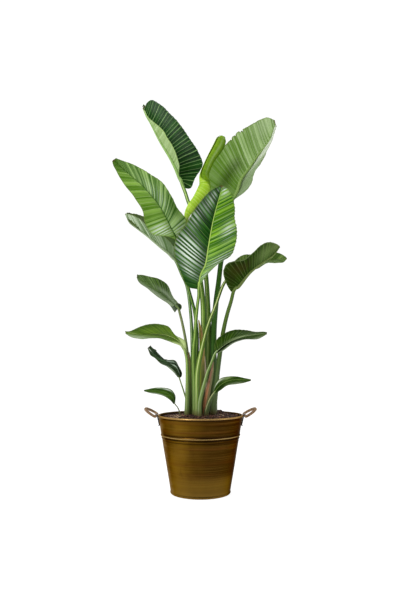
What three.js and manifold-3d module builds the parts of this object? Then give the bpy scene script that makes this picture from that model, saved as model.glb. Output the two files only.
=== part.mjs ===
// A potted bird of paradise: fourteen leaves on long stalks in a metal bucket with two wrapped side handles.
// Millimetres, +Z up. The origin is the centre of the bucket's flat base. The front looks along +Y.
import * as THREE from 'three';
import { mergeVertices } from 'three/addons/utils/BufferGeometryUtils.js';
import Module from 'manifold-3d';

const wasm = await Module();
wasm.setup();

// Bucket
const POT_SEGMENTS = 32;
const POT_FOOT_RADIUS = 106.3;
const POT_TAPER = 0.176; // radius gained for each millimetre of height
const POT_WALL = 2;
const POT_FLOOR = 3;
const RIM_HEIGHT = 272;
const RIM_CENTRE_RADIUS = 152.2;
const RIM_BEAD = 4;
const WALL_TOP = 266.5;

// Raised and sunk bands of the wall: height, step out from the wall
const WALL_BANDS = [
  [187, 0], [190.5, -0.7], [193, 0.5], [195, 1.3], [197, 0.5], [199.5, -0.7], [201.5, 1.1],
  [205, 2.5], [208.5, 1.1], [211, -0.5], [213, 0.4], [214.2, 0.7], [215.5, 0.2], [218, 0],
];

// Foot of the wall: radius, height
const POT_FOOT = [[0, 0], [104.6, 0], [107.8, 1.4], [109, 4], [108.2, 7.2]];
const POT_FOOT_TOP = 9;

// Soil
const GAP = 0.35; // clearance between pieces that touch
const SOIL_EDGE = 266;
const SOIL_RINGS = [130, 114, 101, 88, 70, 46, 22]; // radii at which the surface is modelled
const SOIL_MOUND = 9;
const SOIL_MOUND_RADIUS = 100;
const SOIL_HUMP = { x: 60, y: 54, rise: 14, spread: 26 }; // compost heaped behind the stalks
const SOIL_ROUGHNESS = 2.4;
const SOCKET_FLOOR = 246;
const UPRIGHT_RISE = 3; // the stalks leave the soil upright, this far above it

// Side handles
const RING_WIRE = 2.2;
const RING_STEPS = 24;
const RING_HEIGHT = 273;
const RING_ANGLE = THREE.MathUtils.degToRad(31);
const WRAP_BORE = 2.6;
const WRAP_RADIUS = 5.2;
const WRAP_SIDES = 8;
const WRAP_START = 3; // the wrap leaves this many steps of the ring bare beside the hinge
// Half of the ring seen square on, from the hinge to the far end: distance out, distance along the wall
const RING_OUTLINE = [[0, 0], [0, 30], [1, 46], [5.5, 54], [15.5, 54], [27.5, 47], [37.5, 34], [44, 17], [45.5, 0]];
const STRAP_WIDTH = 30;
const STRAP_THICKNESS = 3;
const STRAP_FOOT = 237;
const STRAP_LEAN = THREE.MathUtils.degToRad(13.6); // leans out just enough to clear the rim's bead
const KNUCKLE_RADIUS = 4.8;
const LIP_RADIUS = 1.8;

// Leaves
const BLADE_THICKNESS = 1.2;
const VEIN_LEAN = 0.62; // how far the veins lean toward the tip
const PLEAT = 0.9; // height of the ribs along the veins
const STALK_TAPER = 1.1; // 1 is an even taper; above 1 the stalk thins sooner
const STALK_INTO_BLADE = 0.05; // share of the midrib that the stalk's end runs into
const ROW_CROWDING = 1.5; // rows lie closer together toward the lobes at the blade's foot
const LEAST_REACH = [4, 2]; // least half width of a blade, at its foot and at its tip
const NOTCH_WIDTH = 0.046; // share of the margin's length on either side of a notch
const KEEL_SHARE = 0.3; // the keel takes at most this share of a half blade
const FULL_PLEAT_WIDTH = 40; // narrower stretches of a half blade have lower ribs

// The outlines below are drawn as they look from the front, from a point 2 m away and 475 mm up.
// Each point is [across, up, depth]: its place in the drawing, and then how far back it lies.
const EYE = new THREE.Vector3(0, -2000, 475);
const DRAWING_CENTRE = new THREE.Vector3(0, 0, 696);
const DRAWN_CENTRE_HEIGHT = 720; // the height that the drawing gives to its centre
const SIGHT = DRAWING_CENTRE.clone().sub(EYE).normalize();
const ACROSS = new THREE.Vector3(1, 0, 0);
const UPWARD = new THREE.Vector3().crossVectors(ACROSS, SIGHT);

function spot([across, up, depth]) {
  const drawn = DRAWING_CENTRE.clone()
    .addScaledVector(ACROSS, across)
    .addScaledVector(UPWARD, up - DRAWN_CENTRE_HEIGHT);
  const reach = (depth - EYE.y) / (drawn.y - EYE.y);
  return drawn.sub(EYE).multiplyScalar(reach).add(EYE);
}

function smoothCurve(points) {
  return new THREE.CatmullRomCurve3(points, false, 'centripetal');
}

function seededRandom(seed) {
  let state = seed;
  return () => {
    state = (state * 1664525 + 1013904223) % 4294967296;
    return state / 4294967296;
  };
}

// Solids
function toSolid(geometry) {
  const bare = geometry.clone();
  bare.deleteAttribute('normal');
  bare.deleteAttribute('uv');
  const merged = mergeVertices(bare, 1e-3);
  return new wasm.Manifold(new wasm.Mesh({
    numProp: 3,
    vertProperties: new Float32Array(merged.attributes.position.array),
    triVerts: new Uint32Array(merged.index.array),
  }));
}

function toGeometry(solid) {
  const mesh = solid.getMesh();
  const positions = new Float32Array((mesh.vertProperties.length / mesh.numProp) * 3);
  for (let i = 0; i < positions.length / 3; i++) {
    for (let k = 0; k < 3; k++) positions[i * 3 + k] = mesh.vertProperties[i * mesh.numProp + k];
  }
  const geometry = new THREE.BufferGeometry();
  geometry.setAttribute('position', new THREE.BufferAttribute(positions, 3));
  geometry.setIndex(new THREE.BufferAttribute(new Uint32Array(mesh.triVerts), 1));
  geometry.computeVertexNormals();
  return geometry;
}

// A closed cylinder bent along a curve, its radius given along the way, with straight stretches as drawn
function taperedTube(curve, steps, sides, radiusAt) {
  const geometry = new THREE.CylinderGeometry(1, 1, 1, sides, steps);
  const place = geometry.attributes.position;
  const front = new THREE.Vector3(0, -1, 0);
  const radial = new THREE.Vector3();
  for (let i = 0; i < place.count; i++) {
    radial.fromBufferAttribute(place, i);
    const t = THREE.MathUtils.clamp(radial.y + 0.5, 0, 1);
    const tangent = curve.getTangentAt(t);
    const side = new THREE.Vector3().crossVectors(tangent, front).normalize();
    const rear = new THREE.Vector3().crossVectors(side, tangent);
    const point = curve.getPointAt(t)
      .addScaledVector(side, radial.x * radiusAt(t))
      .addScaledVector(rear, radial.z * radiusAt(t));
    place.setXYZ(i, point.x, point.y, point.z);
  }
  return geometry;
}

// A thin closed sheet about a grid of points; lowered sinks points of the lower face
function sheet(grid, thickness, lowered = () => 0) {
  const rows = grid.length;
  const columns = grid[0].length;
  const normalAt = (i, j) => {
    const along = grid[Math.min(i + 1, rows - 1)][j].clone().sub(grid[Math.max(i - 1, 0)][j]);
    const over = grid[i][Math.min(j + 1, columns - 1)].clone().sub(grid[i][Math.max(j - 1, 0)]);
    return over.cross(along).normalize();
  };
  const positions = [];
  for (const face of [1, -1]) {
    for (let i = 0; i < rows; i++) {
      for (let j = 0; j < columns; j++) {
        const sink = face < 0 ? lowered(i, j) : 0;
        const point = grid[i][j].clone().addScaledVector(normalAt(i, j), (face * thickness) / 2 - sink);
        positions.push(point.x, point.y, point.z);
      }
    }
  }
  const upper = (i, j) => i * columns + j;
  const lower = (i, j) => rows * columns + i * columns + j;
  const index = [];
  for (let i = 0; i < rows - 1; i++) {
    for (let j = 0; j < columns - 1; j++) {
      index.push(upper(i, j), upper(i, j + 1), upper(i + 1, j + 1));
      index.push(upper(i, j), upper(i + 1, j + 1), upper(i + 1, j));
      index.push(lower(i, j), lower(i + 1, j + 1), lower(i, j + 1));
      index.push(lower(i, j), lower(i + 1, j), lower(i + 1, j + 1));
    }
    const last = columns - 1;
    index.push(upper(i, 0), upper(i + 1, 0), lower(i + 1, 0), upper(i, 0), lower(i + 1, 0), lower(i, 0));
    index.push(upper(i, last), lower(i + 1, last), upper(i + 1, last));
    index.push(upper(i, last), lower(i, last), lower(i + 1, last));
  }
  for (let j = 0; j < columns - 1; j++) {
    const last = rows - 1;
    index.push(upper(0, j), lower(0, j + 1), upper(0, j + 1), upper(0, j), lower(0, j), lower(0, j + 1));
    index.push(upper(last, j), upper(last, j + 1), lower(last, j + 1));
    index.push(upper(last, j), lower(last, j + 1), lower(last, j));
  }
  const geometry = new THREE.BufferGeometry();
  geometry.setAttribute('position', new THREE.Float32BufferAttribute(positions, 3));
  geometry.setIndex(index);
  return geometry;
}

// Leaves. left and right are the margins seen on the upper face with the tip up.
const LEAVES = {
  leaf_top_left: {
    foot: [26, 36],
    radii: [13, 7.2],
    stalk: [[28, 422, 36], [31, 594, 37], [27, 733, 39], [19, 834, 46], [2, 947, 54], [-24, 1041, 62],
      [-45, 1089, 70], [-56, 1123, 78]],
    rib: [[-69, 1157, 85], [-82, 1196, 75], [-107, 1248, 62], [-151, 1318, 50], [-188, 1386, 45],
      [-202, 1408, 46], [-217, 1442, 50]],
    left: [[-71, 1160, 90], [-80, 1167, 92], [-81, 1182, 82], [-81, 1198, 60], [-80, 1214, 40],
      [-80, 1232, 22], [-95, 1277, 8], [-117, 1318, 8], [-145, 1363, 18], [-174, 1387, 28],
      [-197, 1408, 38], [-210, 1434, 47]],
    right: [[-61, 1142, 92], [-38, 1141, 108], [-21, 1178, 122], [8, 1232, 135], [-9, 1279, 140],
      [-58, 1353, 135], [-101, 1408, 125], [-153, 1457, 105], [-180, 1471, 88], [-208, 1453, 58]],
    camber: 0.1,
    color: 0x2f5a1c,
  },
  leaf_top_right: {
    foot: [49, 20],
    radii: [14.2, 7.4],
    stalk: [[49, 459, 22], [49.5, 602, 24], [58, 711, 28], [68, 789, 32], [77, 864, 38], [92, 932, 46],
      [107, 999, 55], [116, 1059, 64]],
    rib: [[118, 1095, 70], [137, 1123, 74], [151, 1168, 82], [180, 1209, 96], [210, 1254, 114],
      [257, 1318, 146], [270, 1354, 162], [281, 1384, 174]],
    left: [[129, 1101, 66], [163, 1125, 54], [188, 1155, 50], [201, 1196, 58], [221, 1233, 74],
      [240, 1265, 98], [257, 1297, 122], [271, 1329, 142], [285, 1374, 172]],
    right: [[107, 1086, 72], [75, 1074, 86], [45, 1098, 104], [28, 1142, 120], [32, 1206, 134],
      [64, 1276, 146], [108, 1317, 152], [137, 1347, 156], [183, 1374, 164], [241, 1404, 176],
      [279, 1396, 178]],
    notches: [[0.56, 0.16, 'right'], [0.66, 0.2, 'right']],
    camber: 0.1,
    color: 0x7d9a5c,
  },
  leaf_left_broad: {
    foot: [-16, 7],
    radii: [9, 4.4],
    stalk: [[-15, 459, 6], [-13, 591, 0], [-23, 681, -6], [-45, 767, -14], [-66, 864, -22], [-86, 936, -26]],
    rib: [[-91, 953, -28], [-111, 993, -36], [-156, 1076, -58], [-222, 1153, -92], [-258, 1184, -112],
      [-296, 1218, -136], [-328, 1247, -158]],
    left: [[-96, 949, -30], [-120, 961, -48], [-179, 970, -74], [-205, 1008, -94], [-217, 1057, -110],
      [-245, 1105, -128], [-289, 1163, -148], [-323, 1221, -160], [-331, 1243, -162]],
    right: [[-83, 969, -20], [-59, 996, -10], [-59, 1028, -10], [-88, 1068, -14], [-106, 1105, -20],
      [-143, 1162, -40], [-194, 1196, -68], [-249, 1228, -104], [-287, 1242, -130], [-318, 1253, -156]],
    camber: 0.14,
    color: 0x6fa238,
  },
  leaf_left_rear: {
    foot: [-31, 28],
    radii: [9.4, 5.2],
    stalk: [[-31, 403, 29], [-30, 534, 31], [-37, 677, 36], [-52, 776, 41], [-72, 821, 43]],
    rib: [[-91, 864, 45], [-113, 893, 49], [-142, 916, 58], [-174, 942, 69], [-205, 967, 82],
      [-239, 991, 98], [-266, 1012, 110], [-283, 1045, 124]],
    left: [[-84, 878, 40], [-97, 914, 30], [-127, 952, 28], [-165, 980, 34], [-203, 1004, 50],
      [-232, 1028, 80], [-262, 1041, 112], [-280, 1046, 122]],
    right: [[-80, 881, 52], [-82, 930, 86], [-112, 976, 110], [-156, 1012, 126], [-197, 1028, 134],
      [-228, 1040, 134], [-248, 1045, 130], [-277, 1046, 124]],
    camber: 0.1,
    color: 0x8a9f72,
  },
  leaf_front_broad: {
    foot: [-22, -14],
    radii: [10, 5.2],
    stalk: [[-24, 403, -14], [-26, 527, -22], [-21, 583, -28], [-17, 647, -36], [-12, 699, -44],
      [-7, 737, -52]],
    rib: [[-7, 767, -58], [0, 816, -66], [18, 854, -78], [29, 919, -94], [47, 1018, -108],
      [67, 1095, -112], [82, 1149, -110]],
    left: [[-13, 763, -58], [-48, 774, -62], [-71, 819, -68], [-95, 887, -76], [-96, 936, -80],
      [-81, 971, -84], [-53, 1007, -90], [-30, 1046, -96], [2, 1093, -102], [43, 1134, -108],
      [80, 1151, -110]],
    right: [[0, 789, -58], [34, 827, -64], [65, 856, -70], [115, 892, -76], [128, 924, -80],
      [136, 962, -82], [134, 996, -84], [127, 1033, -86], [128, 1065, -90], [118, 1111, -100],
      [103, 1136, -106], [84, 1150, -110]],
    camber: 0.14,
    color: 0x2e6e14,
  },
  leaf_right_front: {
    foot: [46, -10],
    radii: [11.5, 6.2],
    stalk: [[56, 377, -10], [63, 448, -12], [73.5, 527, -18], [85, 602, -30], [99.5, 666, -43], [115, 718, -55]],
    rib: [[126, 759, -62], [144, 778, -68], [183, 824, -86], [216, 851, -104], [248, 872, -124],
      [275, 891, -142], [298, 921, -158]],
    left: [[133, 761, -58], [146, 799, -48], [169, 833, -48], [204, 864, -64], [242, 898, -92],
      [272, 917, -122], [298, 919, -156]],
    right: [[115, 753, -64], [98, 784, -76], [87, 828, -88], [99, 856, -96], [132, 868, -102],
      [162, 871, -110], [198, 899, -124], [228, 927, -140], [259, 938, -152], [286, 930, -158],
      [297, 924, -159]],
    camber: 0.12,
    color: 0x3f6420,
  },
  leaf_right_rear: {
    foot: [-13, -42],
    radii: [11, 5],
    stalk: [[-13, 366, -42], [-11, 452, -42], [5, 538, -42], [30, 632, -42], [56, 699, -42], [82, 771, -34],
      [98, 799, -22]],
    rib: [[107, 812, -12], [133, 831, 2], [171, 846, 26], [216, 859, 54], [261, 870, 82],
      [324, 878, 120]],
    left: [[105, 823, -10], [118, 853, 2], [142, 879, 20], [166, 891, 36], [204, 891, 64],
      [246, 896, 86], [287, 899, 108], [313, 888, 122], [324, 879, 122]],
    right: [[114, 803, -16], [148, 810, -12], [186, 829, 2], [216, 842, 18], [249, 861, 42],
      [279, 861, 68], [309, 864, 94], [324, 876, 118]],
    camber: 0.12,
    color: 0x40611f,
  },
  leaf_left_small_1: {
    foot: [-44, 10],
    radii: [6.4, 4.8],
    stalk: [[-46, 403, 10], [-48, 512, 6], [-56, 572, 2], [-66, 624, 8], [-76, 666, 14]],
    rib: [[-84, 692, 20], [-109, 714, 12], [-141, 745, -8], [-168, 761, -28], [-201, 784, -52],
      [-238, 812, -80]],
    left: [[-95, 676, 16], [-118, 706, 2], [-160, 735, -24], [-195, 763, -46], [-229, 788, -68],
      [-239, 806, -82]],
    right: [[-75, 684, 22], [-75, 700, 30], [-88, 709, 30], [-107, 742, 24], [-126, 780, 10],
      [-156, 800, -12], [-187, 808, -36], [-220, 815, -64], [-238, 816, -80]],
    camber: 0.14,
    color: 0x46663a,
    small: true,
  },
  leaf_left_small_2: {
    foot: [-49, -24],
    radii: [10.5, 5],
    stalk: [[-49, 366, -24], [-49, 452, -24], [-51, 497, -27]],
    rib: [[-56, 523, -30], [-66, 549, -30], [-84, 568, -26], [-122, 588, -10], [-168, 594, 12],
      [-219, 592, 36], [-281, 600, 64]],
    left: [[-58, 521, -32], [-70, 546, -40], [-103, 562, -42], [-149, 578, -32], [-179, 579, -16],
      [-219, 577, 4], [-260, 584, 36], [-281, 596, 60]],
    right: [[-54, 534, -28], [-60, 568, -16], [-92, 588, -6], [-119, 620, 8], [-149, 630, 24],
      [-187, 631, 42], [-227, 621, 58], [-264, 605, 68], [-283, 604, 66]],
    camber: 0.14,
    color: 0x4c7a2c,
    small: true,
  },
  leaf_right_small_1: {
    foot: [-3, -65],
    radii: [8.5, 4],
    stalk: [[-3, 332, -65], [5, 373, -65], [16, 414, -66], [27, 452, -67], [41, 486, -68]],
    rib: [[56, 523, -70], [77, 542, -72], [117, 568, -72], [156, 583, -70], [201, 591, -62],
      [249, 598, -50]],
    left: [[54, 534, -66], [54, 553, -58], [64, 576, -48], [88, 594, -42], [124, 609, -38],
      [159, 610, -38], [210, 602, -42], [234, 603, -46], [249, 601, -50]],
    right: [[62, 522, -76], [81, 531, -84], [120, 559, -94], [159, 573, -94], [210, 576, -82],
      [231, 584, -66], [249, 594, -52]],
    camber: 0.14,
    color: 0x44752a,
    small: true,
  },
  leaf_left_twisted: {
    foot: [-52, -2],
    radii: [3.5, 2.4],
    stalk: [[-54, 347, -3], [-61, 373, -5], [-72, 407, -8]],
    rib: [[-80, 431, -12], [-92, 459, -16], [-114, 484, -20], [-144, 499, -24], [-165, 512, -30],
      [-182, 529, -36], [-194, 546, -42]],
    left: [[-85, 432, -16], [-100, 451, -24], [-123, 472, -30], [-151, 487, -34], [-169, 504, -38],
      [-186, 515, -42], [-193, 529, -46], [-198, 542, -46]],
    right: [[-73, 432, -8], [-70, 446, -4], [-82, 472, -4], [-96, 494, -6], [-124, 497, -12],
      [-150, 503, -18], [-165, 529, -24], [-180, 542, -32], [-188, 551, -40]],
    camber: 0.14,
    color: 0x1f3d1a,
    small: true,
  },
  leaf_right_small_2: {
    foot: [20, -43],
    radii: [13, 3.6],
    stalk: [[35, 345, -62]],
    rib: [[50, 371, -74], [69, 396, -84], [96, 415, -98], [133, 423, -116], [163, 422, -132],
      [189, 422, -146]],
    left: [[49, 381, -70], [56, 403, -68], [73, 425, -76], [103, 434, -90], [138, 434, -110],
      [163, 429, -126], [189, 424, -145]],
    right: [[57, 372, -78], [75, 385, -92], [99, 402, -110], [135, 408, -126], [163, 412, -138],
      [189, 419, -148]],
    camber: 0.14,
    color: 0x3a6a26,
    small: true,
  },
  leaf_left_lowest: {
    foot: [-72, -42],
    radii: [2.6, 1.8],
    stalk: [[-85, 318, -45]],
    rib: [[-97, 333, -50], [-107, 358, -53], [-129, 374, -58], [-163, 381, -66], [-189, 381, -74],
      [-212, 382, -80]],
    left: [[-101, 332, -53], [-112, 346, -60], [-133, 361, -68], [-162, 370, -74], [-189, 374, -79],
      [-211, 380, -81]],
    right: [[-95, 338, -47], [-95, 362, -44], [-109, 384, -46], [-137, 392, -54], [-171, 392, -64],
      [-197, 387, -74], [-212, 384, -80]],
    camber: 0.14,
    color: 0x2f6a34,
    small: true,
  },
};

// The young leaf is still rolled up: its middle line from foot to tip, with the roll's radius
const FURLED = {
  foot: [10, 10],
  radii: [11, 8.8],
  stalk: [[10, 422, 11], [11.5, 609, 12], [7.5, 733, 14], [-6.5, 827, 16], [-24, 902, 20], [-41, 966, 24]],
  roll: [[-53, 1016, 28], [-52, 1029, 28], [-47, 1046, 28], [-33, 1071, 28], [-13, 1095, 29],
    [5, 1121, 30], [15, 1138, 30], [18, 1153, 31], [15, 1187, 33], [26, 1221, 35], [43, 1256, 37],
    [60, 1283, 39], [73, 1307, 41], [82, 1333, 43]],
  rollRadii: [8, 10, 14, 18, 21, 25, 27, 24, 19, 17, 18, 21, 22, 19],
  turns: 1.35,
  edgeAngle: -0.5, // the free edge shows at the front, to the right
  color: 0x97bd2c,
};

// Dry sheaths: narrow curved strips. Each point is [across, up, depth, half width].
const SHEATHS = {
  sheath_red_brown: {
    foot: [17, -20, 8],
    strip: [[18, 320, -20, 9.5], [25, 362, -22, 9], [34, 407, -24, 7.5], [44, 457, -26, 5], [49, 490, -25, 1.5]],
    color: 0x7a4a2c,
  },
  sheath_cream: {
    foot: [20, -3, 5],
    strip: [[20, 350, -3, 5], [19, 410, -3, 4.5], [17, 470, -2, 3.5], [15, 512, -1, 1.5]],
    color: 0xb99f72,
  },
  sheath_yellow_brown: {
    foot: [0, -10, 11],
    strip: [[2, 340, -10, 11], [4, 450, -9, 11], [5, 545, -9, 9], [0, 605, -9, 6], [-7, 647, -8, 1.5]],
    color: 0x9a8a3c,
  },
  sheath_left: {
    foot: [-38, -7, 8],
    strip: [[-39, 340, -7, 8], [-39, 430, -6, 8], [-41, 490, -6, 6], [-44, 526, -5, 2]],
    color: 0x8a6a3c,
  },
};
const SHEATH_THICKNESS = 2.4;
const SHEATH_BULGE = 2;

function uprightTop(x, y) {
  return soilHeight(x, y) + UPRIGHT_RISE;
}

function stalkCurve(leaf, blade, drop = 0) {
  const [x, y] = leaf.foot;
  const foot = [
    new THREE.Vector3(x, y, SOCKET_FLOOR + GAP - drop),
    new THREE.Vector3(x, y, (SOCKET_FLOOR + uprightTop(x, y)) / 2),
    new THREE.Vector3(x, y, uprightTop(x, y)),
  ];
  const end = [blade.getPointAt(0), blade.getPointAt(STALK_INTO_BLADE)];
  return smoothCurve([...foot, ...leaf.stalk.map(spot), ...end]);
}

function stalkRadius([low, high], extra = 0) {
  return (t) => high + (low - high) * (1 - t) ** STALK_TAPER + extra;
}

function stalkTube(leaf, blade, { drop = 0, extra = 0 } = {}) {
  const curve = stalkCurve(leaf, blade, drop);
  const steps = Math.round(THREE.MathUtils.clamp(curve.getLength() / 55, 5, 14));
  return taperedTube(curve, steps, leaf.small ? 6 : 8, stalkRadius(leaf.radii, extra));
}

// Rows follow the veins from the midrib to both margins; columns run along the blade
function bladeGrid(leaf, rows, stops) {
  const rib = smoothCurve(leaf.rib.map(spot));
  const margins = {
    left: smoothCurve(leaf.left.map(spot)),
    right: smoothCurve(leaf.right.map(spot)),
  };
  const grid = [];
  for (let i = 0; i <= rows; i++) {
    const u = (i / rows) ** ROW_CROWDING;
    const s = u + VEIN_LEAN * u * (1 - u);
    const middle = rib.getPointAt(u);
    const tangent = rib.getTangentAt(u);
    const keel = THREE.MathUtils.lerp(leaf.radii[1], 1, u);
    const half = (side, v) => {
      const reach = margins[side].getPointAt(s).sub(middle);
      const least = THREE.MathUtils.lerp(LEAST_REACH[0], LEAST_REACH[1], u);
      if (reach.length() < least) reach.setLength(least);
      for (const [where, depth, notched] of leaf.notches ?? []) {
        if (notched === side && Math.abs(s - where) < NOTCH_WIDTH) reach.multiplyScalar(1 - depth);
      }
      const width = reach.length();
      const upward = reach.clone().cross(tangent).normalize();
      if (side === 'left') upward.negate();
      const share = v === 'keel' ? Math.min(keel / width, KEEL_SHARE) : v;
      const ripple = PLEAT * Math.min(1, width / FULL_PLEAT_WIDTH) * Math.sin(Math.PI * share);
      const pleat = i % 2 ? ripple : -ripple;
      const lift = leaf.camber * width * 4 * share * (1 - share) * (1 - share) + pleat;
      return middle.clone().addScaledVector(reach, share).addScaledVector(upward, lift);
    };
    grid.push([
      ...[...stops].reverse().map((v) => half('left', v)),
      middle.clone(),
      ...stops.map((v) => half('right', v)),
    ]);
  }
  return grid;
}

function leafSolid(leaf) {
  const rows = leaf.small ? 8 : 12;
  const stops = leaf.small ? ['keel', 0.55, 1] : ['keel', 0.4, 0.75, 1];
  const grid = bladeGrid(leaf, rows, stops);
  const middle = stops.length;
  const keelDepth = (i) => THREE.MathUtils.lerp(leaf.radii[1] * 1.2, 0.8, (i / rows) ** ROW_CROWDING);
  const blade = toSolid(sheet(grid, BLADE_THICKNESS, (i, j) => (j === middle ? keelDepth(i) : 0)));
  const stalk = toSolid(stalkTube(leaf, smoothCurve(leaf.rib.map(spot))));
  return blade.add(stalk);
}

function furledSolid(leaf) {
  const rows = 13;
  const columns = 12;
  const middle = smoothCurve(leaf.roll.map(spot));
  const radii = smoothCurve(leaf.rollRadii.map((r, k) => new THREE.Vector3(k, r, 0)));
  const front = new THREE.Vector3(0, -1, 0);
  const grid = [];
  for (let i = 0; i <= rows; i++) {
    const u = i / rows;
    const centre = middle.getPoint(u);
    const tangent = middle.getTangent(u);
    const side = new THREE.Vector3().crossVectors(tangent, front).normalize();
    const face = new THREE.Vector3().crossVectors(tangent, side).normalize();
    const radius = radii.getPoint(u).y;
    const row = [];
    for (let j = 0; j <= columns; j++) {
      const share = j / columns;
      const angle = leaf.edgeAngle - (1 - share) * leaf.turns * 2 * Math.PI;
      const reach = radius * THREE.MathUtils.lerp(0.78, 1.05, share);
      row.push(centre.clone()
        .addScaledVector(side, Math.cos(angle) * reach)
        .addScaledVector(face, Math.sin(angle) * reach));
    }
    grid.push(row);
  }
  return toSolid(sheet(grid, BLADE_THICKNESS)).add(toSolid(stalkTube(leaf, middle)));
}

function sheathSolid({ foot, strip }, { drop = 0, extra = 0 } = {}) {
  const [x, y, footWidth] = foot;
  const stations = [
    [new THREE.Vector3(x, y, SOCKET_FLOOR + GAP - drop), footWidth],
    [new THREE.Vector3(x, y, uprightTop(x, y)), footWidth],
    ...strip.map((point) => [spot(point), point[3]]),
  ];
  const grid = stations.map(([centre, halfWidth]) => [-1, -0.4, 0.4, 1].map((v) => new THREE.Vector3(
    centre.x + v * (halfWidth + extra),
    centre.y + SHEATH_BULGE * v * v,
    centre.z,
  )));
  return toSolid(sheet(grid, SHEATH_THICKNESS + 2 * extra));
}

// Bucket
function wallRadius(height) {
  return POT_FOOT_RADIUS + POT_TAPER * height;
}

function potGeometry() {
  const foot = [...POT_FOOT, [wallRadius(POT_FOOT_TOP), POT_FOOT_TOP]];
  const bands = WALL_BANDS.map(([height, step]) => [wallRadius(height) + step, height]);
  const bead = [];
  for (let degrees = -70; degrees <= 210; degrees += 35) {
    const angle = THREE.MathUtils.degToRad(degrees);
    bead.push([RIM_CENTRE_RADIUS + RIM_BEAD * Math.cos(angle), RIM_HEIGHT + RIM_BEAD * Math.sin(angle)]);
  }
  const inside = [[wallRadius(WALL_TOP) - POT_WALL, WALL_TOP], [wallRadius(POT_FLOOR) - POT_WALL, POT_FLOOR],
    [0, POT_FLOOR]];
  const profile = [...foot, ...bands, [wallRadius(WALL_TOP), WALL_TOP], ...bead, ...inside];
  return latheUpright(profile);
}

// Lathe geometry turns about Y; this stands it up about Z
function latheUpright(profile) {
  const points = profile.map(([radius, height]) => new THREE.Vector2(radius, height));
  return new THREE.LatheGeometry(points, POT_SEGMENTS).rotateX(Math.PI / 2);
}

function soilHeight(x, y) {
  const mound = SOIL_MOUND * Math.exp(-((Math.hypot(x, y) / SOIL_MOUND_RADIUS) ** 8));
  const fromHump = Math.hypot(x - SOIL_HUMP.x, y - SOIL_HUMP.y) / SOIL_HUMP.spread;
  return SOIL_EDGE + mound + SOIL_HUMP.rise * Math.exp(-(fromHump ** 2) / 2);
}

function soilSolid(sockets) {
  const bottom = POT_FLOOR + GAP;
  const wall = (height) => wallRadius(height) - POT_WALL - GAP;
  const rings = [wall(SOIL_EDGE), ...SOIL_RINGS];
  const profile = [[0, bottom], [wall(bottom), bottom], ...rings.map((r) => [r, SOIL_EDGE]), [0, SOIL_EDGE]];
  const geometry = latheUpright(profile);
  const bare = new THREE.BufferGeometry();
  bare.setAttribute('position', geometry.attributes.position.clone());
  bare.setIndex(geometry.index.clone());
  const merged = mergeVertices(bare, 1e-3);
  const place = merged.attributes.position;
  const random = seededRandom(7);
  for (let i = 0; i < place.count; i++) {
    const bump = (random() * 2 - 1) * SOIL_ROUGHNESS;
    const isInside = Math.hypot(place.getX(i), place.getY(i)) < wall(SOIL_EDGE) - 1;
    if (place.getZ(i) > bottom + 1 && isInside) {
      place.setZ(i, soilHeight(place.getX(i), place.getY(i)) + bump);
    }
  }
  return sockets.reduce((soil, socket) => soil.subtract(socket), toSolid(merged));
}

// Side handles, made for the right side and turned for the left
function ringCurve() {
  const mirrored = RING_OUTLINE.slice(1, -1).reverse().map(([out, along]) => [out, -along]);
  const hinge = ringHinge();
  const points = [...RING_OUTLINE, ...mirrored].map(([out, along]) => new THREE.Vector3(
    hinge.x + out * Math.cos(RING_ANGLE),
    along,
    hinge.z + out * Math.sin(RING_ANGLE),
  ));
  return new THREE.CatmullRomCurve3(points, true, 'centripetal');
}

function ringHinge() {
  const lean = (RING_HEIGHT - STRAP_FOOT) * Math.tan(STRAP_LEAN) + KNUCKLE_RADIUS / Math.cos(STRAP_LEAN);
  return new THREE.Vector3(wallRadius(STRAP_FOOT) + GAP + lean, 0, RING_HEIGHT);
}

function ringGeometry() {
  const curve = ringCurve();
  const upright = new THREE.Vector3(-Math.sin(RING_ANGLE), 0, Math.cos(RING_ANGLE));
  const geometry = new THREE.TorusGeometry(2, 1, 6, RING_STEPS);
  const place = geometry.attributes.position;
  for (let i = 0; i < place.count; i++) {
    const around = Math.atan2(place.getY(i), place.getX(i));
    const t = THREE.MathUtils.euclideanModulo(Math.round(around / (2 * Math.PI) * RING_STEPS), RING_STEPS)
      / RING_STEPS;
    const outward = Math.hypot(place.getX(i), place.getY(i)) - 2;
    const normal = new THREE.Vector3().crossVectors(curve.getTangentAt(t), upright);
    const point = curve.getPointAt(t)
      .addScaledVector(normal, outward * RING_WIRE)
      .addScaledVector(upright, place.getZ(i) * RING_WIRE);
    place.setXYZ(i, point.x, point.y, point.z);
  }
  return geometry;
}

class WrapPath extends THREE.Curve {
  constructor(ring, start, end) {
    super();
    Object.assign(this, { ring, start, end });
  }

  getPoint(t) {
    return this.ring.getPointAt(THREE.MathUtils.lerp(this.start, this.end, t));
  }
}

function wrapGeometry() {
  const section = new THREE.Shape();
  const bore = new THREE.Path();
  for (let k = 0; k < WRAP_SIDES; k++) {
    const angle = (k / WRAP_SIDES) * 2 * Math.PI;
    const step = k === 0 ? 'moveTo' : 'lineTo';
    section[step](WRAP_RADIUS * Math.cos(angle), WRAP_RADIUS * Math.sin(angle));
    bore[step](WRAP_BORE * Math.cos(angle), WRAP_BORE * Math.sin(angle));
  }
  section.closePath();
  bore.closePath();
  section.holes.push(bore);
  const start = WRAP_START / RING_STEPS;
  return new THREE.ExtrudeGeometry(section, {
    steps: RING_STEPS - 2 * WRAP_START,
    extrudePath: new WrapPath(ringCurve(), start, 1 - start),
  });
}

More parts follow.
